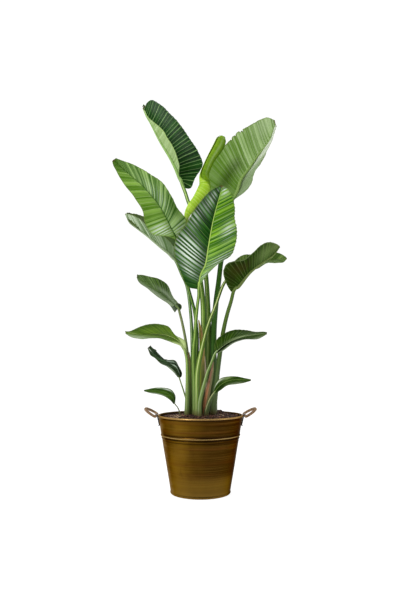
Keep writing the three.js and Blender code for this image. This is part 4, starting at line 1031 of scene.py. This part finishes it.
def blade_part(leaf, look):
    """The blade as a ribbed sheet whose rows follow the veins from the midrib to both margins."""
    rows = look["veins"] * ROWS_PER_VEIN
    rib = Curve(spot(leaf["rib"]))
    w = np.arange(rows + 1) / rows
    u = w ** look["crowding"]
    middle, tangent = rib.at(u), rib.tangent(u)
    seed = look["seed"] * 10
    random = np.random.default_rng(seed)
    share = (np.arange(1, COLUMNS_PER_HALF + 1) / COLUMNS_PER_HALF) ** 1.12
    halves = []
    for side, sign in (("left", -1), ("right", 1)):
        lead, sweep = look["sweep"][side]
        reach = Curve(spot(leaf[side])).at(1 - (1 - u ** lead) ** sweep) - middle
        length = np.linalg.norm(reach, axis=1)
        reach = reach * np.maximum(1, np.interp(u, [0, 1], [4, 2]) / np.maximum(length, 1e-6))[:, None]
        lean = np.cross(reach, tangent) * sign
        upward = unit(smoothed(lean, rows // 24))
        width = np.linalg.norm(lean, axis=1)
        full = np.minimum(1, width / FULL_RELIEF)
        phase = w * look["veins"] + 0.2 * wander(w * 9, seed) + (0.5 if side == "left" else 0)
        wave = veined(phase)
        torn = random.uniform(-1, 1, look["veins"] + 3)[np.clip(phase.astype(int), 0, look["veins"] + 2)]
        growth = look["scallop"] * wave + look["ragged"] * torn
        for half, across, up, depth, rows_wide in look["notches"]:
            if half == side:
                off = np.linalg.norm(drawn(middle + reach) - [across, up], axis=1)
                rows_away = np.abs(np.arange(rows + 1) - np.argmin(off))
                growth = growth - depth * np.clip(1 - rows_away / rows_wide, 0, 1)
        grown = share * (1 + growth[:, None] * share ** 3)
        ripple = look["ripple"] * (full * wave)[:, None] * smoothstep(0, 0.14, share) * (1 - 0.3 * share)
        flutter = look["wave"] * (full * wander(w * 7 + sign, seed + 3, 3))[:, None] * share ** 2
        flutter = flutter * (smoothstep(0, 0.1, u) * smoothstep(1, 0.9, u))[:, None]
        lift = leaf.get("camber", CAMBER) * width[:, None] * 4 * share * (1 - share) ** 2 + ripple + flutter
        points = middle[:, None] + reach[:, None] * grown[..., None] + upward[:, None] * lift[..., None]
        folded = -look["hem"] * np.minimum(1, width / 20)
        angle = np.full(rows + 1, HEM_ANGLE)
        for half, at_u, spread, extra, degrees, sense in look["curls"]:
            if half == side:
                window = smoothstep(1, 0, np.abs(u - at_u) / spread) * np.minimum(1, width / 8)
                folded = folded * (1 - window) + sense * extra * window
                angle = angle + (math.radians(degrees) - angle) * smoothstep(0, 0.3, window)
        points = np.concatenate([points, folded_margin(points, upward, folded, angle)], axis=1)
        halves.append({"points": points, "width": width, "upward": upward, "phase": phase})
    left, right = halves
    upward_mid = unit(left["upward"] + right["upward"])
    sunk = np.interp(u, [0, 1], [leaf["radii"][1] * 0.22, 0.2])
    centre = middle - upward_mid * sunk[:, None]
    grid = np.concatenate([left["points"][:, ::-1], centre[:, None], right["points"]], axis=1)
    shares = np.concatenate([share, 1 + 0.02 * np.arange(1, 8)])

    def across_blade(key, in_middle):
        ones = np.ones(len(shares))
        return np.concatenate([left[key][:, None] * ones, in_middle[:, None], right[key][:, None] * ones], 1)

    vein = across_blade("phase", (left["phase"] + right["phase"]) / 2)
    width = across_blade("width", left["width"])
    shares = np.concatenate([-shares[::-1], [0], shares])
    values = {"u": u[:, None], "share": shares, "vein": vein, "off": np.abs(shares) * width}
    part = sheet_part(grid, np.interp(np.abs(shares), [0, 0.5, 1], BLADE_THICKNESS), values)

    def upward_at(where):
        return unit(np.stack([np.interp(where, u, axis) for axis in upward_mid.T], -1))

    return part, rib, upward_at


def furled_part(leaf, look):
    """The rolled young leaf: a spiral sheet whose free edge runs round the front halfway up."""
    u, share = np.linspace(0, 1, 241), np.linspace(0, 1, 97)
    place = spot(leaf["roll"])
    middle, along = Curve(place), travelled(place)
    profile = Curve(np.stack([along / along[-1], np.array(leaf["roll_radii"]) / 100], -1)).points
    radius = np.interp(u, *profile.T) * 100
    centre, tangent = middle.at(u), middle.tangent(u, 0.02)
    front = np.array([0.0, -1.0, 0.0])
    side = unit(np.cross(tangent, front))
    face = unit(np.cross(tangent, side))
    free_edge = leaf["edge_angle"] - 2.1 * smoothstep(0.36, 0.56, u)[:, None]
    angle = free_edge - (1 - share) * leaf["turns"] * TURN
    reach = radius[:, None] * np.interp(share, [0, 1], [0.72, 1.05])
    closing = smoothstep(0, 0.06, u)[:, None] * 0.75 + 0.25
    tip = 1 - 0.3 * smoothstep(0.96, 1.0, u)[:, None]
    phase = u[:, None] * look["veins"] + 1.6 * share
    reach = reach * closing * tip + look["ripple"] * veined(phase) * np.minimum(1, radius / 14)[:, None]
    grid = (centre[:, None] + side[:, None] * (np.cos(angle) * reach)[..., None]
            + face[:, None] * (np.sin(angle) * reach)[..., None])
    values = {"u": 0.9 * u[:, None], "share": share * 0.98, "vein": phase, "off": 40.0,
              "face": 1 - smoothstep(0.56, 0.72, share)}

    def upward_at(where):
        return np.broadcast_to(-front, (len(where), 3))

    return sheet_part(grid, ROLL_THICKNESS, values), middle, upward_at


# Colours of each stalk low down and high up
STALKS = {
    "leaf_top_left": ((114, 149, 54), (103, 149, 46)),
    "leaf_top_right": ((33, 70, 8), (62, 116, 25)),
    "leaf_left_broad": ((91, 132, 35), (49, 94, 17)),
    "leaf_left_rear": ((98, 140, 46), (73, 123, 37)),
    "leaf_front_broad": ((107, 154, 25), (106, 146, 44)),
    "leaf_right_front": ((35, 66, 15), (85, 110, 31)),
    "leaf_right_rear": ((136, 180, 31), (91, 118, 29)),
    "leaf_left_small_1": ((134, 147, 83), (125, 134, 83)),
    "leaf_left_small_2": ((120, 158, 58), (194, 226, 104)),
    "leaf_right_small_1": ((120, 154, 58), (98, 129, 48)),
    "leaf_left_twisted": ((114, 138, 67), (100, 123, 56)),
    "leaf_right_small_2": ((35, 68, 10), (69, 112, 25)),
    "leaf_left_lowest": ((127, 127, 100), (91, 103, 69)),
    "leaf_furled": ((112, 149, 52), (114, 158, 46)),
}
STALK_LOOK = {
    "fibre": (44, 78, 12), "fibre_strength": 0.55, "painted_highlight": (206, 226, 140), "painted_highlight_strength": 0.95,
    "painted_highlight_at": -0.28, "shadow": (22, 54, 6), "shadow_strength": 0.64, "high_from": 650,
}
STALK_LOOKS = {
    "leaf_top_right": {"painted_highlight": (88, 130, 60), "painted_highlight_strength": 0.4},
    "leaf_right_small_2": {"painted_highlight": (206, 204, 144), "painted_highlight_strength": 1.3, "painted_highlight_at": -0.6},
    "leaf_right_small_1": {"painted_highlight": (186, 206, 150), "painted_highlight_strength": 1.1, "painted_highlight_at": -0.58},
    "leaf_left_broad": {"painted_highlight": (150, 186, 84), "painted_highlight_strength": 0.7, "high_from": 380},
    "leaf_left_rear": {"painted_highlight": (190, 212, 160)},
    "leaf_right_rear": {"painted_highlight": (224, 236, 160), "painted_highlight_strength": 1.1, "high_from": 420},
    "leaf_right_front": {"painted_highlight": (96, 122, 60), "painted_highlight_strength": 0.5, "high_from": 420},
    "leaf_left_small_1": {"painted_highlight": (160, 170, 130), "painted_highlight_strength": 0.7, "shadow_strength": 0.4},
}

for name, leaf in {**LEAVES, "leaf_furled": FURLED}.items():
    look = {**DEFAULT_LOOK, **LOOKS[name]}
    stalk_look = {**STALK_LOOK, **STALK_LOOKS.get(name, {})}
    if leaf is FURLED:
        slot, make_blade, sink, end = "young_leaf", furled_part, 0.0, 0.12
    else:
        slot, make_blade, sink, end = "leaf", blade_part, 1.0, 1.0
    blade, rib, upward_at = make_blade(leaf, look)
    make_piece(f"{name}_fine", [blade, stalk_and_rib(leaf, rib, upward_at, sink, end)],
               [blade_material(f"{name}_blade", look),
                stalk_material(f"{name}_stalk", *STALKS[name], look["rib"], stalk_look)], name)


# Dry sheaths
SHEATH_THICKNESS = 1.1


def sheath_part(sheath, seed):
    x, y, foot_width = sheath["foot"]
    strip = np.asarray(sheath["strip"], float)
    top = soil_height(x, y) + UPRIGHT_RISE
    centres = np.vstack([[x, y, SOCKET_FLOOR + GAP], [x, y, top], spot(strip[:, :3])])
    widths = np.concatenate([[foot_width, foot_width], strip[:, 3]])
    t = np.linspace(0, 1, 70)
    run = Curve(np.column_stack([centres, widths])).at(t)
    v = np.linspace(-1, 1, 21)
    random = np.random.default_rng(seed)
    ragged = 1 + 0.05 * wander(t * 20, seed)[:, None] * np.abs(v) ** 2
    ridges = 0.25 * np.sin(v * 16 + random.uniform(0, 6)) + 0.12 * wander(v * 40, seed + 1)
    grid = np.stack([run[:, :1] + v * run[:, 3:4] * ragged, run[:, 1:2] + 2.6 * v ** 2 + ridges,
                     run[:, 2:3] + 0 * v], -1)
    return sheet_part(grid, SHEATH_THICKNESS, {"u": t[:, None] * 3 + seed, "share": v, "rise": t[:, None]})


# Dark and light colour of each sheath, that of its foot up to a share of its length, and the one it turns
# towards its right (1) or left (-1) side
SHEATH_COLOURS = {
    "sheath_red_brown": ((110, 74, 52), (166, 124, 94), (196, 128, 84), 0.62, (118, 120, 74), 1),
    "sheath_cream": ((166, 144, 112), (232, 216, 188), (160, 130, 92), 0.3, (214, 196, 166), 1),
    "sheath_yellow_brown": ((140, 112, 48), (196, 158, 88), (76, 98, 30), 0.66, (126, 142, 24), -1),
    "sheath_left": ((110, 80, 52), (164, 126, 90), (120, 142, 66), 0.82, (128, 146, 76), 1),
}
for number, (name, sheath) in enumerate(SHEATHS.items()):
    make_piece(f"{name}_fine", [sheath_part(sheath, number + 5)],
               [sheath_material(f"{name}_paper", *SHEATH_COLOURS[name])], name)


# Bucket
def wall_radius(height):
    return WALL_RADIUS + WALL_TAPER * height


WALL_SEGMENTS = 256
WALL_THICKNESS = 2.0
FLOOR_THICKNESS = 3.0
BEAD_CENTRE = (152.2, 272.0)
BEAD_RADIUS = 4.0
# Height and step out of the wall at the raised ribs under the rim
WALL_BANDS = [
    [187, 0], [190.5, -0.7], [193, 0.5], [195, 1.3], [197, 0.5], [199.5, -0.7], [201.5, 1.1],
    [205, 2.5], [208.5, 1.1], [211, -0.5], [213, 0.4], [214.2, 0.7], [215.5, 0.2], [218, 0],
]
foot_profile = [[103.8, 0.0], [104.6, 0.05], [107.2, 0.8], [108.5, 2.4], [109.0, 4.2], [108.7, 6.2],
                [108.1, 7.6], [wall_radius(9.4), 9.4]]
outer_wall = [
    *[[wall_radius(h), h] for h in np.linspace(12, 184, 44)],
    *Curve([[wall_radius(h) + step, h] for h, step in WALL_BANDS], samples=6).points.tolist(),
    *[[wall_radius(h), h] for h in (*np.linspace(220, 265, 14), 266.5)],
]
bead = [[BEAD_CENTRE[0] + BEAD_RADIUS * math.cos(a), BEAD_CENTRE[1] + BEAD_RADIUS * math.sin(a)]
        for a in np.radians(np.linspace(-70, 210, 29))]
inner_wall = [[wall_radius(h) - WALL_THICKNESS, h] for h in np.linspace(266.5, 3.4, 24)]
inner_wall.append([wall_radius(FLOOR_THICKNESS) - 3, FLOOR_THICKNESS])
outside = [*foot_profile, *outer_wall, *bead]
bucket = lathe_part([[0, 0], *outside, *inner_wall, [0, FLOOR_THICKNESS]], WALL_SEGMENTS)
p = bucket["points"]
radius = np.hypot(p[:, 0], p[:, 1])
inside = (np.arange(len(p)) > len(outside) * WALL_SEGMENTS).astype(float)
inside[-2] = 0.0  # the middle of the bucket's underside
inside = np.where(p[:, 2] > 267.5, smoothstep(154.5, 151.5, radius), inside)  # the bead
bucket["values"]["inside"] = inside
# slight hand-worked unevenness of the thin wall
around = np.arctan2(p[:, 1], p[:, 0])
uneven = 0.22 * np.sin(3 * around + p[:, 2] / 40) + 0.14 * np.sin(7 * around - p[:, 2] / 25)
middle_of_wall = smoothstep(10, 40, p[:, 2]) * smoothstep(184, 165, p[:, 2])
p[:, :2] *= (1 + uneven * middle_of_wall * (radius > 90) / np.maximum(radius, 1e-6))[:, None]
make_piece("bucket_fine", [bucket], [bucket_material()], "bucket")

# Soil
SOIL_SEGMENTS = 160
CHIPS = 2600
CHIP_SIDES = 6
CHIPS_REACH = 143.0
FIBRE_THICKNESS = 0.9
chip_random = np.random.default_rng(11)


def soil_radius(height):
    return wall_radius(height) - WALL_THICKNESS - GAP


def soil_surface():
    bottom, edge = FLOOR_THICKNESS + GAP, soil_radius(SOIL_EDGE)
    top = [[r, SOIL_EDGE] for r in np.linspace(edge, 4, 60)]
    part = lathe_part([[0, bottom], [soil_radius(bottom), bottom], *top, [0, SOIL_EDGE]], SOIL_SEGMENTS,
                      {"tint": 0.2})
    q = part["points"]
    x, y = q[:, 0], q[:, 1]
    crumbs = chip_random.uniform(-1, 1, len(q))
    rolling = 1.6 * np.sin(x / 9 + 1.3 * np.sin(y / 13)) * np.sin(y / 8 + 1.1 * np.sin(x / 11))
    inside = smoothstep(edge, edge - 8, np.hypot(x, y))
    q[:, 2] = np.where(q[:, 2] > bottom + 1, soil_height(x, y) + (1.1 * crumbs + rolling) * inside, q[:, 2])
    return part


def rotations(axis, angles):
    """Matrices that turn about one axis."""
    first, second = (axis + 1) % 3, (axis + 2) % 3
    turns = np.tile(np.eye(3), (len(angles), 1, 1))
    turns[:, first, first] = turns[:, second, second] = np.cos(angles)
    turns[:, second, first] = np.sin(angles)
    turns[:, first, second] = -np.sin(angles)
    return turns


def chip_parts(count, sides):
    """Flat irregular bark chips, each a six-sided slab, all in one set of arrays."""
    where = chip_random.uniform(0, 1, count)
    spin = chip_random.uniform(0, TURN, count)
    reach = np.sqrt(where) * CHIPS_REACH
    x, y = reach * np.cos(spin), reach * np.sin(spin)
    long = chip_random.uniform(2.5, 8.5, count) * np.where(chip_random.uniform(size=count) > 0.85, 1.5, 1)
    wide = long * chip_random.uniform(0.35, 0.75, count)
    thick = chip_random.uniform(0.8, 2.2, count)
    angle = circle(sides) + chip_random.uniform(-0.3, 0.3, (count, sides))
    outline = np.stack([np.cos(angle) * long[:, None], np.sin(angle) * wide[:, None]], -1)
    outline *= chip_random.uniform(0.75, 1.15, (count, sides, 1))
    local = np.zeros((count, 2 * sides, 3))
    local[..., :2] = np.concatenate([outline * 0.86, outline], 1)
    local[..., 2] = thick[:, None] * np.repeat([0.5, -0.5], sides)
    local[..., 2] += chip_random.uniform(-0.35, 0.35, (count, 2 * sides))
    turn = chip_random.uniform(0, TURN, count)
    tilt = chip_random.normal(0, 0.35, count)
    roll = chip_random.normal(0, 0.35, count)
    rotation = rotations(2, turn) @ rotations(0, tilt) @ rotations(1, roll)
    z = soil_height(x, y) + chip_random.uniform(-0.4, 1.6, count)
    points = np.einsum("nij,nkj->nki", rotation, local) + np.stack([x, y, z], -1)[:, None]
    upper = (np.arange(count) * 2 * sides)[:, None] + np.arange(sides)
    under = upper + sides
    faces = [half[:, corners] for half in (upper, under[:, ::-1]) for corners in ([0, 1, 2, 3], [0, 3, 4, 5])]
    for j in range(sides):
        k = (j + 1) % sides
        faces.append(np.stack([upper[:, j], under[:, j], under[:, k], upper[:, k]], -1))
    tint = np.repeat(chip_random.uniform(0, 1, count), 2 * sides)
    return {"points": points.reshape(-1, 3), "faces": np.vstack(faces), "values": {"tint": tint},
            "material": 0}


def fibre_part(start, heading, length, width, bend, seed):
    """A tan curled strip of bark lying on the compost."""
    t = np.linspace(0, 1, 26)
    v = np.linspace(-1, 1, 7)
    direction = heading + bend * (t - 0.5)
    ahead = np.stack([np.cos(direction), np.sin(direction)], -1)
    across = np.stack([-ahead[:, 1], ahead[:, 0]], -1)
    line = np.asarray(start, float) + np.cumsum(ahead * (length / 25), axis=0)
    height = soil_height(line[:, 0], line[:, 1]) + 2.2 + 1.8 * np.sin(math.pi * t) + 0.5 * wander(t * 6, seed)
    taper = width / 2 * np.sin(math.pi * np.clip(t, 0.05, 0.95)) ** 0.6
    flat = line[:, None] + across[:, None] * v[:, None] * taper[:, None, None]
    grid = np.concatenate([flat, (height[:, None] - 0.9 * v ** 2)[..., None]], -1)
    return sheet_part(grid, FIBRE_THICKNESS, {"u": t[:, None] * 2 + seed, "share": v}, material=1)


# Where each strip starts, its heading, length, width and bend
FIBRES = [
    ([-122, -52], 0.35, 46, 6.5, 0.9), ([-112, -30], 0.1, 42, 6, -1.0), ([-96, -66], 0.6, 36, 5, 0.8),
    ([-118, 12], -0.2, 34, 5, 0.7), ([-92, -20], -0.5, 30, 4.5, 1.2), ([86, -34], 2.6, 30, 4, 0.9),
    ([70, 92], 0.2, 30, 4, 0.8), ([-40, 88], 1.2, 34, 4.5, -0.9),
]
soil_parts = [soil_surface(), chip_parts(CHIPS, CHIP_SIDES)]
soil_parts += [fibre_part(*fibre, number + 1) for number, fibre in enumerate(FIBRES)]
make_piece("soil_fine", soil_parts, [soil_material(), fibre_material()], "soil", smooth=False)

# Side handles
RING_ANGLE = math.radians(31)
WIRE_RADIUS = 2.2
RING_OUTLINE = [[0, 0], [0, 30], [1, 46], [5.5, 54], [15.5, 54], [27.5, 47], [37.5, 34], [44, 17], [45.5, 0]]
STRAP_FOOT = 237.0
STRAP_LEAN = math.radians(13.6)
STRAP_MIDDLE = 1.2  # of its thickness, off the wall and the gap
HINGE_HEIGHT = 273.0
HINGE_OFF_WALL = 4.8
HINGE = np.array([wall_radius(STRAP_FOOT) + GAP + (HINGE_HEIGHT - STRAP_FOOT) * math.tan(STRAP_LEAN)
                  + HINGE_OFF_WALL / math.cos(STRAP_LEAN), 0, HINGE_HEIGHT])
mirrored = [[out, -along] for out, along in RING_OUTLINE[-2:0:-1]]
RING = Curve([HINGE + [out * math.cos(RING_ANGLE), along, out * math.sin(RING_ANGLE)]
              for out, along in RING_OUTLINE + mirrored], closed=True)
RING_UPRIGHT = np.array([-math.sin(RING_ANGLE), 0, math.cos(RING_ANGLE)])
CORD_RADIUS = 1.3
CORD_STEP = 2.5  # along the ring from one turn to the next
CORD_REACH = 3.75  # from the wire's middle to the cord's
STRAP_THICKNESS = 1.9
STRAP_ROWS = 90
CURL_RADIUS = 3.7


def twine_part(seed):
    """The cord wound round the ring, turn by turn."""
    start, end = 3 / 24 - 0.004, 21 / 24 + 0.004
    turns = int(RING.length * (end - start) / CORD_STEP)
    t = np.linspace(0, 1, turns * 14)
    share = start + (end - start) * t
    centre, tangent = RING.at(share), RING.tangent(share, 0.004)
    winding = (TURN * turns * t + 0.25 * wander(t * 30, seed))[:, None]
    spread = (CORD_REACH + 0.12 * wander(t * 50, seed + 1))[:, None]
    outward = np.cross(tangent, RING_UPRIGHT)
    points = centre + (outward * np.cos(winding) + RING_UPRIGHT * np.sin(winding)) * spread
    onward = unit(np.gradient(points, axis=0))
    radial = unit(points - centre)
    radial = unit(radial - onward * np.sum(radial * onward, axis=1, keepdims=True))
    angle = circle(8)
    rings = points[:, None] + CORD_RADIUS * spokes(radial, np.cross(onward, radial), angle)
    values = {"along": np.repeat(travelled(points), len(angle)), "around": np.tile(angle, len(points))}
    part = ringed_part(rings, points[[0, -1]], values, inward=True)
    part["values"]["around"][-1] = 0.0  # at the middle of its far end
    return part


def strap_part():
    """A metal strap: lip at its foot, flat up the wall, and curled round the ring's wire."""
    up_wall = np.array([math.sin(STRAP_LEAN), math.cos(STRAP_LEAN)])
    outward = np.array([math.cos(STRAP_LEAN), -math.sin(STRAP_LEAN)])
    start = np.array([wall_radius(STRAP_FOOT) + GAP + STRAP_MIDDLE, STRAP_FOOT])
    lip = [start + outward * 3.4 + up_wall * 0.8, start + outward * 1.6 - up_wall * 0.1,
           start + up_wall * 0.9]
    flat = [start + up_wall * h for h in (4, 10, 16, 24)]
    curl = [HINGE[[0, 2]] + CURL_RADIUS * np.array([math.cos(a), math.sin(a)])
            for a in np.radians(np.arange(182, -160, -19))]
    t = np.linspace(0, 1, STRAP_ROWS)
    line = Curve([*lip, *flat, *curl]).at(t)
    y = np.array([-15, -14.6, -13.5, *np.linspace(-12, 12, 9), 13.5, 14.6, 15])
    round_corner = np.maximum(np.abs(y) - 13.4, 0) * 0.7
    lift = round_corner * np.clip(1 - t[:, None] * 14, 0, 1)
    grid = np.stack([line[:, :1] + 0 * y, y + 0 * line[:, :1], line[:, 1:] + lift], -1)
    return sheet_part(grid, STRAP_THICKNESS, {})


twine = twine_material()
wire = dark_metal_material("handle_wire", (34, 25, 16), (84, 64, 38), 0.85)
strap_metal = dark_metal_material("dark_strap", (30, 20, 12), (74, 52, 34), 0.4)
ring_steps = 160
ring_line = RING.at(np.arange(ring_steps) / ring_steps)
ring_radii = np.full(ring_steps, WIRE_RADIUS)
for side, sign, seed in (("right", 1, 3), ("left", -1, 4)):
    for name, part, material, replaced, slot in (
        (f"handle_ring_{side}_fine", tube_part(ring_line, ring_radii, 14, RING_UPRIGHT, closed=True), wire,
         f"handle_ring_{side}", "handle_wire"),
        (f"handle_twine_{side}", twine_part(seed), twine, f"handle_wrap_{side}", "twine"),
        (f"ear_strap_{side}_fine", strap_part(), strap_metal, f"ear_strap_{side}", "strap_metal"),
    ):
        part["points"] = part["points"] * [sign, sign, 1]
        make_piece(name, [part], [material], replaced)

# Floor, light and camera
FLOOR_REACH = 20  # metres from the middle
floor_mesh = bpy.data.meshes.new("floor")
floor_corners = [(x * FLOOR_REACH, y * FLOOR_REACH, 0) for x, y in ((-1, -1), (1, -1), (1, 1), (-1, 1))]
floor_mesh.from_pydata(floor_corners, [], [(0, 1, 2, 3)])
floor = link("floor", floor_mesh)
pale = Shader("pale_floor")
paper = pale.mix(pale.noise(pale.place(), 3, 2), (0.3, 0.3, 0.3, 1), (0.34, 0.34, 0.34, 1))
pale.set(Base_Color=paper, Roughness=0.7, Specular_IOR_Level=0.1)
pale.set(Emission_Color=(1, 1, 1, 1), Emission_Strength=0.86)
floor_mesh.materials.append(pale.material)

# The surroundings are white behind the plant and dim towards the camera
world = bpy.data.worlds.new("studio")
bpy.context.scene.world = world
world.use_nodes = True
background = world.node_tree.nodes["Background"]
background.inputs["Color"].default_value = (1, 1, 1, 1)
coordinates, axes, fade = (world.node_tree.nodes.new(f"ShaderNode{kind}")
                           for kind in ("TexCoord", "SeparateXYZ", "MapRange"))
for key, value in (("From Min", -0.9), ("From Max", 0.75), ("To Min", 0.07), ("To Max", 1.05)):
    fade.inputs[key].default_value = value
for source, fed in ((coordinates.outputs["Generated"], axes.inputs[0]),
                    (axes.outputs["Y"], fade.inputs["Value"]),
                    (fade.outputs["Result"], background.inputs["Strength"])):
    world.node_tree.links.new(source, fed)


def aimed(name, data, place, aim):
    """Puts a light or camera at a place, turned towards another."""
    made = link(name, data)
    made.location = place
    made.rotation_euler = (Vector(aim) - Vector(place)).to_track_quat("-Z", "Y").to_euler()
    return made


for name, place, aim, size, watts in (
    ("key", (-1.5, -1.7, 2.5), (0, 0, 0.8), (0.8, 1.2), 46),
    ("right_fill", (2.2, -1.1, 1.5), (0, 0, 0.7), (0.7, 1.6), 9),
    ("top", (0.3, 0.6, 3.0), (0, 0, 0.9), (1.4, 1.4), 14),
):
    light = bpy.data.lights.new(name, "AREA")
    light.shape = "RECTANGLE"
    light.size, light.size_y = size
    light.energy = watts
    aimed(name, light, place, aim)

camera = bpy.data.cameras.new("camera")
camera.lens = 32.14
camera.sensor_width = 36
bpy.context.scene.camera = aimed("camera", camera, EYE * MM, DRAWING_CENTRE * MM)
bpy.context.scene.view_settings.view_transform = "Standard"
